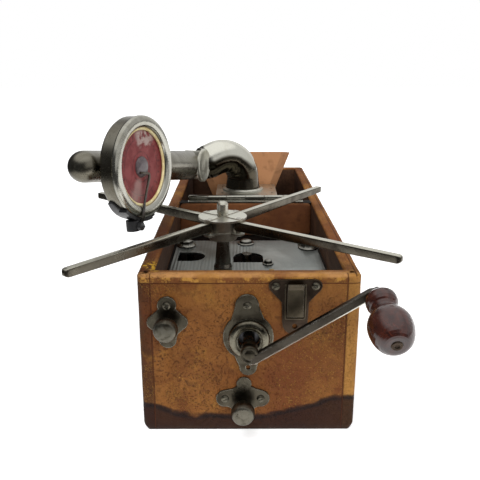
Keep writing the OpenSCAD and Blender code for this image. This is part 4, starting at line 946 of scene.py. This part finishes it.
@dataclass(frozen=True)
class Piece:
    """A piece of the visual model, with the CAD body that it rides on and its material's slot."""

    name: str
    shape: Shape
    finish: str
    body: str
    slot: str
    replaces: str = ""
    smooth: bool = True
    holes: tuple[Triple, ...] = ()

    def add(self, materials: Materials) -> None:
        """Makes the object, cuts its holes, parents it to the empty of its body and hides the CAD node that
        it replaces.

        Args:
            materials: the finishes by name.
        """
        made = mesh_object(self.name, self.shape)
        made.data.polygons.foreach_set("use_smooth", np.full(len(made.data.polygons), self.smooth))
        made.data.materials.append(materials[self.finish])
        for hole in self.holes:
            self.drill(made, *hole)
        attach(made, self.body)
        if self.replaces:
            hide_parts(self.replaces)
        log.info("%s: %d points", self.name, len(made.data.vertices))

    @staticmethod
    def drill(made: bpy.types.Object, x: float, z: float, r: float) -> None:
        """Cuts a round hole through the front.

        Args:
            made: the object that is cut.
            x: the hole's place across, in millimetres.
            z: its height.
            r: its radius.
        """
        drill = mesh_object("drill", turned([(r, -12.0), (r, 12.0)], (x, FRONT, z), FORWARD, 32))
        cut = made.modifiers.new("hole", "BOOLEAN")
        cut.object, cut.operation, cut.solver = drill, "DIFFERENCE", "EXACT"
        bpy.context.view_layer.objects.active = made
        bpy.ops.object.modifier_apply(modifier=cut.name)
        bpy.data.objects.remove(drill)


@dataclass(frozen=True)
class Gooseneck:
    """Fat swan neck in one vertical plane: up from the base plate, round the bend and down to the collar."""

    foot: Triple = (-1.8, 39.0, 92.05)
    bearing: float = 205.5
    axis_z: float = 100.4
    bend: float = 17.0
    drop: float = 20.0
    straight: float = 12.0
    foot_r: float = 13.3
    middle_r: float = 12.3
    end_r: float = 12.9
    folds: Triple = (0.3, 0.47, 0.64)
    fold_long: float = 0.035
    fold_high: float = 0.55
    pinch: float = 0.3
    foot_bore: tuple[float, float] = (12.3, 7.0)
    mouth_bore: tuple[float, float] = (10.95, 5.5)

    def path(self) -> tuple[np.ndarray, np.ndarray]:
        """Works out the centre line.

        Returns:
            Centres in the plane (distance, height) and unit tangents, row by row.
        """
        rise = np.linspace(0.0, 1.0, 8, endpoint=False)
        turn = np.linspace(0.0, np.radians(90 + self.drop), 40, endpoint=False)
        down = np.linspace(0.0, 1.0, 10)[:, None]
        way, foot_z = np.radians(self.drop), self.foot[2]
        top = np.array([self.bend * (1 + np.sin(way)), self.axis_z + self.bend * np.cos(way)])
        ahead = np.array([np.cos(way), -np.sin(way)])
        centre = np.concatenate([
            np.stack([rise * 0, foot_z + rise * (self.axis_z - foot_z)], axis=1),
            np.stack([self.bend * (1 - np.cos(turn)), self.axis_z + self.bend * np.sin(turn)], axis=1),
            top + down * self.straight * ahead])
        tangent = np.concatenate([
            np.tile([0.0, 1.0], (8, 1)),
            np.stack([np.sin(turn), np.cos(turn)], axis=1),
            np.tile(ahead, (10, 1))])
        return centre, tangent

    def neck(self) -> Shape:
        """Round rows of radius r(s) along the path, folded inside the bend and cut at the collar's plane.

        Returns:
            Points and faces.
        """
        centre, tangent = self.path()
        s = np.linspace(0.0, 1.0, len(centre))
        end = self.end_r
        r = np.interp(s, [0.0, 0.14, 0.5, 0.8, 0.93, 0.97, 1.0],
                      [self.foot_r, self.middle_r, self.middle_r, end, end, end - 0.6, end - 1.9])
        t = around(64)
        inner = np.clip(-np.cos(t), 0.0, 1.0) ** 2
        fold = sum(np.exp(-((s - at) / self.fold_long) ** 2) for at in self.folds)
        swell = self.fold_high * fold - self.pinch * np.sin(np.pi * s) ** 2
        wide = r[:, None] + swell[:, None] * inner
        way = np.radians(self.bearing)
        face, level = np.array([np.cos(way), np.sin(way), 0.0]), np.array([-np.sin(way), np.cos(way), 0.0])
        along = centre[:, :1] * face + centre[:, 1:] * UP + (*self.foot[:2], 0.0)
        out = tangent[:, :1] * UP - tangent[:, 1:] * face
        body = along[:, None] + wide[:, :, None] * circle(t, out[:, None], level)
        past = (body - along[-1]) @ face
        past[:-1] = np.maximum(past[:-1], 0.0)
        body -= past[:, :, None] * face
        bore, deep = self.mouth_bore
        mouth = [along[-1] - far * face + bore * circle(t, UP, level) for far in (0.0, deep)]
        bore, deep = self.foot_bore
        foot = [along[0] + far * UP + bore * circle(t, out[0], level) for far in (deep, 0.0)]
        return lofted(np.concatenate([foot, body, mouth]))

    def pieces(self) -> list[Piece]:
        """The neck."""
        return [Piece("swan_neck", self.neck(), "lit_neck_nickel", "tonearm", "nickel", "gooseneck")]


@dataclass(frozen=True)
class TonearmDetails:
    """The lift joint's round cap, and the soundbox's rolled bezel, boss, black strap and stylus bar."""

    cap_at: Triple = (-29.36, 6.1, 115.15)
    cap_axis: Triple = (0.952, -0.306, 0.0)
    cap_r: float = 11.9
    rim_r: float = 27.0
    opening_r: float = 20.6
    strap: tuple[float, float] = (212.0, 282.0)
    strap_gap: float = 0.1
    bar_path: tuple[Triple, ...] = (
        (-4.0, -2.4, -1.5), (-1.0, -3.0, -1.5), (2.6, -3.8, -1.3), (3.6, -4.6, -1.2), (3.2, -6.2, -1.0),
        (0.0, -11.0, -0.7), (-4.4, -17.6, -0.2), (-7.4, -22.0, 0.7), (-9.0, -25.4, 1.0), (-10.4, -28.4, 0.0))
    bar_wide: tuple[float, ...] = (1.2, 1.4, 1.4, 1.6, 1.6, 1.3, 1.3, 1.7, 2.6, 2.8)
    bar_thick: float = 0.9

    def cap(self) -> Shape:
        """Drum on the tube's side with a flat rimmed end, turned about the joint's axis.

        Returns:
            Points and faces.
        """
        r = self.cap_r
        profile = [(r - 1.6, -15.0), (r - 1.6, -2.6), (r - 0.2, -2.2), (r, -1.6), (r, -0.5), (r - 0.5, 0.0),
                   (r - 1.6, 0.1), (r - 2.0, -0.25), (4.0, -0.1), (1.0, 0.0)]
        return turned(profile, self.cap_at, self.cap_axis, 64)

    def bezel(self) -> Shape:
        """Rolled ring in front of the soundbox's rim."""
        points, faces = rolled_ring(self.opening_r, self.rim_r, (-2.6, -2.0, 2.3), 0.8, 17, 96)
        return SOUNDBOX.world(points) / 1000, faces

    def boss(self) -> Shape:
        """Domed boss at the middle of the mica."""
        profile = [(5.7, -3.6), (5.7, -2.9), (5.3, -2.3), (4.4, -1.9), (2.6, -1.7), (0.8, -1.65)]
        return turned(profile, SOUNDBOX.world((0.0, 0.0, 0.0)), SOUNDBOX.axes[:, 2], 40)

    def rim_strap(self) -> Shape:
        """Strap round the rim: P(i, j) = (R + y_ij)(cos t_i, sin t_i), x_ij along the axis, tapered above.

        Returns:
            Points and faces.
        """
        s = np.linspace(0.0, 1.0, 48)
        outward = circle(np.radians(np.linspace(*self.strap, 48)), *np.eye(3)[:2])
        wide = np.interp(s, [0.0, 0.2, 0.5, 1.0], [3.0, 6.0, 8.6, 8.6])
        wide *= np.interp(s, [0.0, 0.02, 0.98, 1.0], [0.6, 1.0, 1.0, 0.6])
        high = np.interp(s, [0.0, 0.3, 1.0], [1.2, 2.0, 2.4])
        back = np.interp(s, [0.0, 0.5, 1.0], [-8.5, -6.2, -5.2])[:, None] * UP
        path = SOUNDBOX.world(outward * (self.rim_r + self.strap_gap) + back)
        return swept(path, SOUNDBOX.axes[:, 2], outward @ SOUNDBOX.axes.T, soft_box(wide, high, 6.0))

    def stylus_bar(self) -> Shape:
        """Thin bar from the boss over the bezel to the socket: a bent path in the soundbox's own axes.

        Returns:
            Points and faces.
        """
        path = np.array(self.bar_path)
        ahead = unit(np.gradient(path, axis=0))
        side = unit(np.cross(ahead, UP))
        outline = soft_box(self.bar_wide, np.full(len(path), self.bar_thick), 6.0, 20)
        turn = SOUNDBOX.axes.T
        return swept(SOUNDBOX.world(path), side @ turn, np.cross(side, ahead) @ turn, outline)

    def pieces(self) -> list[Piece]:
        """The pieces that ride on the tube.

        Returns:
            The pieces.
        """
        return [
            Piece("bent_stylus_bar", self.stylus_bar(), "spring_steel", "tube", "spring_steel", "stylus_bar"),
            Piece("lift_joint_cap", self.cap(), "cap_nickel", "tube", "nickel"),
            Piece("rolled_bezel", self.bezel(), "nickel", "tube", "nickel", "soundbox_bezel"),
            Piece("mica_boss", self.boss(), "mica", "tube", "red_paper"),
            Piece("rim_strap", self.rim_strap(), "black_enamel", "tube", "black_enamel")]


@dataclass(frozen=True)
class FoldingArms:
    """The turntable's arms as slim bars with rolled edges and rounded tips, each round its own rivet."""

    bearings: tuple[tuple[str, float], ...] = (
        ("arm_front_right", -38.0), ("arm_back_right", 52.0),
        ("arm_back_left", 142.0), ("arm_front_left", 231.2))
    hub: tuple[float, float] = (-14.3, -91.4)
    pivot: float = 11.5
    heel: float = 2.4
    reach: float = 108.4
    top: float = 102.6
    wide: float = 4.1
    root: float = 5.6
    tip: float = 4.0
    heel_round: float = 2.0
    tip_round: float = 2.2

    def bar(self, bearing: float) -> Shape:
        """Bar whose depth falls from root to tip; its ends shrink by sqrt(1 - q^2) over their last stretch.

        Args:
            bearing: its direction in degrees.

        Returns:
            Points and faces.
        """
        q = np.linspace(0.0, np.pi / 2, 9)
        heel, tip = self.pivot - self.heel, self.reach - self.tip_round
        along = np.concatenate([
            heel + self.heel_round * (1 - np.cos(q)),
            np.linspace(self.pivot + 1.0, self.reach - 3.0, 24),
            tip + self.tip_round * np.sin(q)])
        near = np.clip((along - heel) / self.heel_round, 0.0, 1.0)
        far = np.clip((along - tip) / self.tip_round, 0.0, 1.0)
        size = np.maximum(np.sqrt(1 - (1 - near) ** 2) * np.sqrt(1 - 0.85 * far ** 2), 0.3)
        depth = np.interp(along, [self.pivot, self.reach], [self.root, self.tip])
        way = np.radians(bearing)
        path = np.array([*self.hub, self.top]) + along[:, None] * (np.cos(way), np.sin(way), 0.0)
        path[:, 2] -= depth / 2
        side = np.array([-np.sin(way), np.cos(way), 0.0])
        return swept(path, side, UP, soft_box(self.wide * size, depth * size, 9.0, 36))

    def pieces(self) -> list[Piece]:
        """The four arms."""
        return [Piece("bar_" + node, self.bar(bearing), "arm_steel", node, "bright_steel", node)
                for node, bearing in self.bearings]


class Head(Enum):
    """Kinds of fixing on the motor plate."""

    NUT = "nut"
    SCREW = "screw"


@dataclass(frozen=True)
class PlateFixings:
    """Hexagon nuts on washers and round-headed screws that hold the motor plate."""

    top: float = 70.5
    spots: tuple[tuple[Head, float, float, float], ...] = (
        (Head.NUT, -39.6, -43.6, 4.6), (Head.SCREW, -0.2, -39.4, 4.2), (Head.NUT, 40.2, -48.6, 4.6),
        (Head.SCREW, 12.6, -80.0, 2.5))

    def nut(self, x: float, y: float, r: float) -> Shape:
        """Hexagon on a round washer, with a stud: its rows have r(t) = R cos 30 / cos((t mod 60) - 30).

        Args:
            x: its place across.
            y: its place along.
            r: its radius over corners.

        Returns:
            Points and faces.
        """
        t = around(72)
        hexagon = np.cos(np.pi / 6) / np.cos(t % (np.pi / 3) - np.pi / 6)
        washer = [(1.35 * r, -0.2, 0), (1.4 * r, 0.5, 0), (1.3 * r, 0.8, 0)]
        sides = [(r, 0.8, 1), (r, 3.2, 1), (r * 0.9, 3.7, 1)]
        stud = [(r * 0.55, 3.8, 0), (r * 0.5, 5.6, 0), (r * 0.4, 6.0, 0)]
        wide, high, six = np.array(washer + sides + stud).T[:, :, None]
        wide = wide * np.where(six, hexagon, 1.0)
        return lofted(np.stack([x + wide * np.cos(t), y + wide * np.sin(t), self.top + high + t * 0], axis=2))

    def screw(self, x: float, y: float, r: float) -> Shape:
        """Round head on a washer.

        Args:
            x: its place across.
            y: its place along.
            r: its head's radius.

        Returns:
            Points and faces.
        """
        profile = [(1.3 * r, -0.2), (1.35 * r, 0.5), (1.2 * r, 0.7), (r, 0.7), (r, 1.5), (0.85 * r, 2.4),
                   (0.5 * r, 2.9), (0.1 * r, 3.0)]
        return turned(profile, (x, y, self.top), UP, 40)

    def pieces(self) -> list[Piece]:
        """The fixings.

        Returns:
            The pieces.
        """
        shapes = {Head.NUT: self.nut, Head.SCREW: self.screw}
        return [
            Piece(f"plate_{head.value}_{number}", shapes[head](*place), "fixing_steel", "case", "aged_nickel")
            for number, (head, *place) in enumerate(self.spots)]


@dataclass(frozen=True)
class FrontFittings:
    """The catch's raised frame, the winding hole's rolled ring and the faces of the two knurled knobs."""

    ring_r: tuple[float, float] = (5.7, 10.6)
    knob_r: float = 5.95
    knurls: int = 42
    knurl_deep: float = 0.14
    catch_x: float = 23.0
    catch_z: tuple[float, float] = (65.2, 83.6)
    catch_half: float = 4.95
    catch_corner: float = 0.8
    catch_wire: tuple[float, float] = (0.9, 1.2)

    def ring(self) -> Shape:
        """Rolled ring, laid on the front: its own height runs forward, and its faces run the other way round.

        Returns:
            Points and faces.
        """
        local, faces = rolled_ring(*self.ring_r, (0.9, 1.6, 2.6), 0.9, 15, 72)
        x, z = WINDING_AT
        points = local[:, [0, 2, 1]] * (1, -1, 1) + (x, FRONT, z)
        return points / 1000, [face[::-1] for face in faces]

    def knob(self, x: float, z: float) -> Shape:
        """Knurled rim and slightly domed face over the knob's head, turned about its line forward.

        Args:
            x: its place across.
            z: its height.

        Returns:
            Points and faces.
        """
        r = self.knob_r
        profile = [(3.1, 5.8), (r * 0.84, 6.1), (r * 0.97, 6.7), (r, 7.3), (r, 10.0), (r * 0.97, 10.6),
                   (r * 0.92, 11.1), (r * 0.9, 11.7), (r * 0.84, 12.1), (r * 0.6, 12.35), (r * 0.1, 12.45)]
        return turned(profile, (x, FRONT, z), FORWARD, 4 * self.knurls, (self.knurls, self.knurl_deep))

    def frame(self) -> Shape:
        """Raised U round the catch's tongue, as one swept bar: down one side, round below and up the other.

        Returns:
            Points and faces.
        """
        q = np.linspace(0.0, np.pi / 2, 7)
        (low, high), half, r = self.catch_z, self.catch_half, self.catch_corner
        down = np.stack([np.full(8, half), np.linspace(high, low + r, 8, endpoint=False)], axis=1)
        corner = np.stack([half - r + r * np.cos(q), low + r - r * np.sin(q)], axis=1)
        run = np.concatenate([down, corner])
        flat = np.concatenate([run, (run * (-1, 1))[::-1]])
        count = len(flat)
        path = np.stack([self.catch_x + flat[:, 0], np.full(count, FRONT - 1.1), flat[:, 1]], axis=1)
        ahead = unit(np.gradient(flat, axis=0))
        side = np.stack([ahead[:, 1], ahead[:, 0] * 0, -ahead[:, 0]], axis=1)
        wide, high = (np.full(count, size) for size in self.catch_wire)
        return swept(path, side, FORWARD, soft_box(wide, high, 3.0, 16))

    def pieces(self) -> list[Piece]:
        """The pieces on the front board and on the knobs.

        Returns:
            The pieces.
        """
        speed, brake = self.knob(*SPEED_KNOB_AT), self.knob(*BRAKE_KNOB_AT)
        return [
            Piece("catch_frame", self.frame(), "catch_metal", "case", "aged_nickel"),
            Piece("winding_ring", self.ring(), "ring_nickel", "case", "aged_nickel"),
            Piece("speed_knob_face", speed, "knob_nickel", "speed_knob", "aged_nickel"),
            Piece("brake_knob_face", brake, "knob_nickel", "brake_knob", "aged_nickel")]


@dataclass(frozen=True)
class CrankBar:
    """Forged crank: an eye round the shaft's end, and a straight bevelled bar that leaves its lower side."""

    eye: Triple = (0.0, -162.5, 54.0)
    start: tuple[float, float] = (-0.6, 49.4)
    end: tuple[float, float] = (59.6, 86.9)
    wide: float = 4.9
    thick: float = 3.0

    def bar(self) -> Shape:
        """Straight sweep of a six-sided section whose lower front edge is bevelled, narrowed at both ends.

        Returns:
            Points and faces.
        """
        s = np.linspace(0.0, 1.0, 26)
        start, end = (np.array([x, self.eye[1], z]) for x, z in (self.start, self.end))
        way = unit(end - start)
        w, d = self.wide / 2, self.thick / 2
        section = np.array([(-w, -d), (-w, d - 1.1), (-w + 1.0, d), (w - 0.35, d), (w, d - 0.35), (w, -d)])
        size = np.interp(s, [0.0, 0.02, 0.97, 1.0], [0.55, 1.0, 1.0, 0.6])[:, None, None]
        return swept(start + s[:, None] * (end - start), np.cross(FORWARD, way), FORWARD, size * section)

    def hub(self) -> Shape:
        """Collar, eye and the shaft's rounded end, turned about the shaft's line.

        Returns:
            Points and faces.
        """
        profile = [(3.9, -8.0), (4.2, -7.1), (3.65, -6.0), (3.65, -2.0), (4.3, -1.6), (4.5, -1.1), (4.5, 0.8),
                   (4.1, 1.35), (3.4, 1.4), (3.1, 1.1), (2.6, 1.1), (2.3, 1.6), (1.3, 1.8), (0.2, 1.85)]
        return turned(profile, self.eye, FORWARD, 56)

    def pieces(self) -> list[Piece]:
        """The bar and the eye."""
        return [
            Piece("forged_crank_bar", self.bar(), "crank_steel", "crank", "bright_steel", "crank_arm", False),
            Piece("crank_eye", self.hub(), "plate_nickel", "crank", "aged_nickel")]


@dataclass(frozen=True)
class LeatherSkin:
    """The hide as one closed skin round the boards, rolled at its edges, lumpy, and open above and below."""

    wide: float = 112.0
    long: float = 290.0
    high: float = 88.0
    wall: float = 8.0
    thick: float = 1.0
    corner: float = 3.3
    bottom: float = 3.9
    front_bottom: float = 0.9
    roll: float = 1.5
    lump: float = 0.32
    waves: int = 26
    holes: tuple[Triple, ...] = ((*WINDING_AT, 5.6), (*SPEED_KNOB_AT, 2.0), (*BRAKE_KNOB_AT, 2.0))

    def loop(self) -> tuple[np.ndarray, np.ndarray]:
        """Works out the points round the case: four straight sides, each with a rounded corner after it.

        Returns:
            The share of the half sizes (x, y) and the outward normal of each point.
        """
        x, y = np.linspace(-1.0, 1.0, 56), np.linspace(-1.0, 1.0, 130)
        a = np.linspace(0.0, np.pi / 2, 9)[1:-1]
        sides, normals = [], []
        runs = ((x, (1.0, -1.0)), (y, (1.0, 1.0)), (-x, (-1.0, 1.0)), (-y, (-1.0, -1.0)))
        for number, (run, lead) in enumerate(runs):
            across = number % 2
            fixed = np.full_like(run, lead[1 - across])
            angle = (number - 1) * np.pi / 2
            sides += [np.stack([fixed, run] if across else [run, fixed], axis=1), np.tile(lead, (len(a), 1))]
            normals += [np.tile([np.cos(angle), np.sin(angle)], (len(run), 1)),
                        np.stack([np.cos(angle + a), np.sin(angle + a)], axis=1)]
        return np.concatenate(sides), np.concatenate(normals)

    def profile(self) -> np.ndarray:
        """Works out the closed section, row by row.

        Returns:
            Inset, height and a mark that is 1 where both are shares of the bottom's roll.
        """
        a, b = np.linspace(0.0, np.pi / 2, 9), np.linspace(0.0, np.pi / 2, 7)
        up = np.linspace(0.0, 1.0, 64)[1:-1]
        foot = np.stack([1 - np.sin(a), 1 - np.cos(a), a * 0 + 1], axis=1)
        outer = np.stack([up * 0, self.bottom + up * (self.high - self.roll - self.bottom), up * 0], axis=1)
        top = np.stack([self.roll * (1 - np.cos(b)), self.high - self.roll * (1 - np.sin(b)), b * 0], axis=1)
        wall, high = self.wall, self.high
        inner = [(wall - 2.5, high, 0), (wall - 0.9, high - 0.02, 0), (wall - 0.25, high - 0.3, 0),
                 (wall, high - 0.7, 0), (wall, high - 1, 0), (self.thick, high - 1, 0),
                 (self.thick, self.bottom + 3, 0)]
        return np.concatenate([foot, outer, top, inner])

    def skin(self) -> Shape:
        """P = S (half - R) + (R - d) n, z, with the lumps taken inwards: d = d0 + l |sum of sine waves|.

        Returns:
            Points and faces.
        """
        share, normal = self.loop()
        first, second, foot = self.profile().T[:, :, None]
        foot = foot > 0.5
        side = normal[:, 0] ** 2
        inset = np.where(foot, first * (self.bottom * side + self.front_bottom * (1 - side)), first)
        level = np.broadcast_to(np.where(foot, second * self.bottom, second), inset.shape)
        half = np.array([self.wide, self.long]) / 2 - self.corner
        flat = share * half + (self.corner - inset)[:, :, None] * normal
        points = np.concatenate([flat, level[:, :, None]], axis=2)
        rng = np.random.default_rng(7)
        waves = rng.normal(size=(self.waves, 3)) * np.geomspace(0.12, 2.6, self.waves)[:, None]
        phase = rng.uniform(0.0, 2 * np.pi, self.waves)
        lumps = np.abs(np.sin(points @ waves.T + phase) @ (np.geomspace(1.0, 0.35, self.waves) / 7.5))
        round_corner = np.clip(1 - np.abs(np.abs(normal[:, 0]) - 0.5) * 2, 0.0, 1.0)
        near_top = np.clip(1 - (self.high - level) / 3.0, 0.0, 1.0)
        edge = np.clip(round_corner + near_top, 0.0, 1.0)
        outside = (inset < self.wall - 2) & ((second > self.thick) | foot) & (first < 0.999)
        depth = self.lump * lumps * (0.25 + 1.2 * edge) * outside
        points[:, :, :2] -= depth[:, :, None] * normal
        return points.reshape(-1, 3) / 1000, grid_faces(*inset.shape, True).tolist()

    def pieces(self) -> list[Piece]:
        """The skin, with the holes of the three shafts."""
        return [Piece("leather_skin", self.skin(), "case_leather", "case", "case_leather", "leather_cover",
                      holes=self.holes)]


# Setting

@dataclass(frozen=True)
class Studio:
    """The camera at the photograph's angle, a pale floor and soft lights."""

    eye: Triple = (-0.0056, -0.4233, 0.1939)
    pitch: float = 16.06
    turn: float = 0.21
    lens: float = 45.11
    shift: float = -15 / 480
    floor_size: float = 3.0
    floor_z: float = -0.0002
    aim: Triple = (0.0, -0.03, 0.07)
    lamps: tuple[tuple[str, Triple, float, float], ...] = (
        ("key light", (-0.25, -0.55, 1.15), 0.6, 8.5), ("fill light", (0.5, -0.9, 0.45), 0.8, 5.5),
        ("back light", (0.1, 0.9, 0.9), 0.8, 2.5))

    def camera(self) -> None:
        """Makes the camera."""
        data = bpy.data.cameras.new("camera")
        data.lens, data.sensor_width, data.shift_y = self.lens, 36.0, self.shift
        data.clip_start = 0.01
        made = bpy.data.objects.new("camera", data)
        made.location = self.eye
        made.rotation_euler = (math.radians(90 - self.pitch), 0.0, math.radians(-self.turn))
        bpy.context.scene.collection.objects.link(made)
        bpy.context.scene.camera = made

    def floor(self) -> None:
        """Makes the floor: white to the camera and in reflections, with the object's shadow kept."""
        corners = np.array([(-1.0, -1.0), (1.0, -1.0), (1.0, 1.0), (-1.0, 1.0)]) * self.floor_size
        points = np.column_stack([corners, np.full(4, self.floor_z)])
        made = mesh_object("floor", (points, [[0, 1, 2, 3]]))
        material = bpy.data.materials.new("floor")
        graph = fresh_graph(material)
        x, y, _ = graph.place
        pale = y.span(-0.42, -0.22) * x.span(-0.5, -0.18)
        base = graph.node("BsdfDiffuse", None, Color=graph.mix(pale, (0.06, 0.06, 0.06), (0.82, 0.82, 0.82)))
        camera, through, glossy = graph.rays()
        mirrored = glossy * (pale * x.span(-0.22, 0.02, 0.12, 0.8))
        seen = camera.math("MAXIMUM", through).math("MAXIMUM", mirrored)
        away = graph.value("VectorMath", {"operation": "LENGTH"}, "Value", i0=graph.where)
        level = pale * away.span(0.8, 0.35) * -0.43 + 1.0
        glow = graph.node("Emission", None, Strength=seen * level)
        both = graph.node("AddShader", None, i0=base.outputs[0], i1=glow.outputs[0])
        graph.node("OutputMaterial", None, Surface=both.outputs[0])
        made.data.materials.append(material)

    def world(self) -> None:
        """Makes the world: plain ambient light, white to the camera, with reflections darker in front."""
        world = bpy.data.worlds.new("studio")
        bpy.context.scene.world = world
        graph = fresh_graph(world)
        camera, through, glossy = graph.rays()
        x, y, z = graph.split(graph.node("TexCoord").outputs["Generated"])
        behind = y.span(0.3, 0.75) * x.span(-0.45, -0.12, 0.0, 0.8)
        low = behind.math("MAXIMUM", x.span(0.2, 0.6, 0.0, 0.6)) * z.span(-0.08, 0.12)
        mirror = z.span(0.5, 0.82).math("MAXIMUM", low) * 0.94 + 0.06
        plain = camera.math("MAXIMUM", through) * 0.58 + 0.42
        level = graph.value("Mix", {"data_type": "FLOAT"}, i0=glossy, i2=plain, i3=mirror)
        sky = graph.node("Background", None, Color=(1.0, 1.0, 1.0), Strength=level)
        graph.node("OutputWorld", None, Surface=sky.outputs[0])

    def lamp(self, name: str, at: Triple, size: float, power: float) -> None:
        """Makes a square soft light that looks at the case and that metal doesn't show.

        Args:
            name: its name.
            at: its place in metres.
            size: the side of the square.
            power: watts.
        """
        data = bpy.data.lights.new(name, "AREA")
        data.shape, data.size, data.energy = "SQUARE", size, power
        made = bpy.data.objects.new(name, data)
        made.location = at
        made.visible_glossy = False
        made.rotation_euler = (Vector(self.aim) - Vector(at)).to_track_quat("-Z", "Y").to_euler()
        bpy.context.scene.collection.objects.link(made)

    def build(self) -> None:
        """Makes the whole setting."""
        self.camera()
        self.floor()
        self.world()
        for lamp in self.lamps:
            self.lamp(*lamp)
        bpy.context.scene.view_settings.view_transform = "Standard"


def main() -> None:
    """Builds the setting, the finishes and the pieces in order."""
    logging.basicConfig(level=logging.INFO, format="%(message)s")
    Studio().build()
    effects = Effects()
    materials = {name: finish.build(name, effects) for name, finish in FINISHES.items()}
    dress_nodes(materials)
    for group in (Gooseneck(), TonearmDetails(), FoldingArms(), PlateFixings(), FrontFittings(), CrankBar(),
                  LeatherSkin()):
        for piece in group.pieces():
            piece.add(materials)


if __name__ == "__main__":
    main()
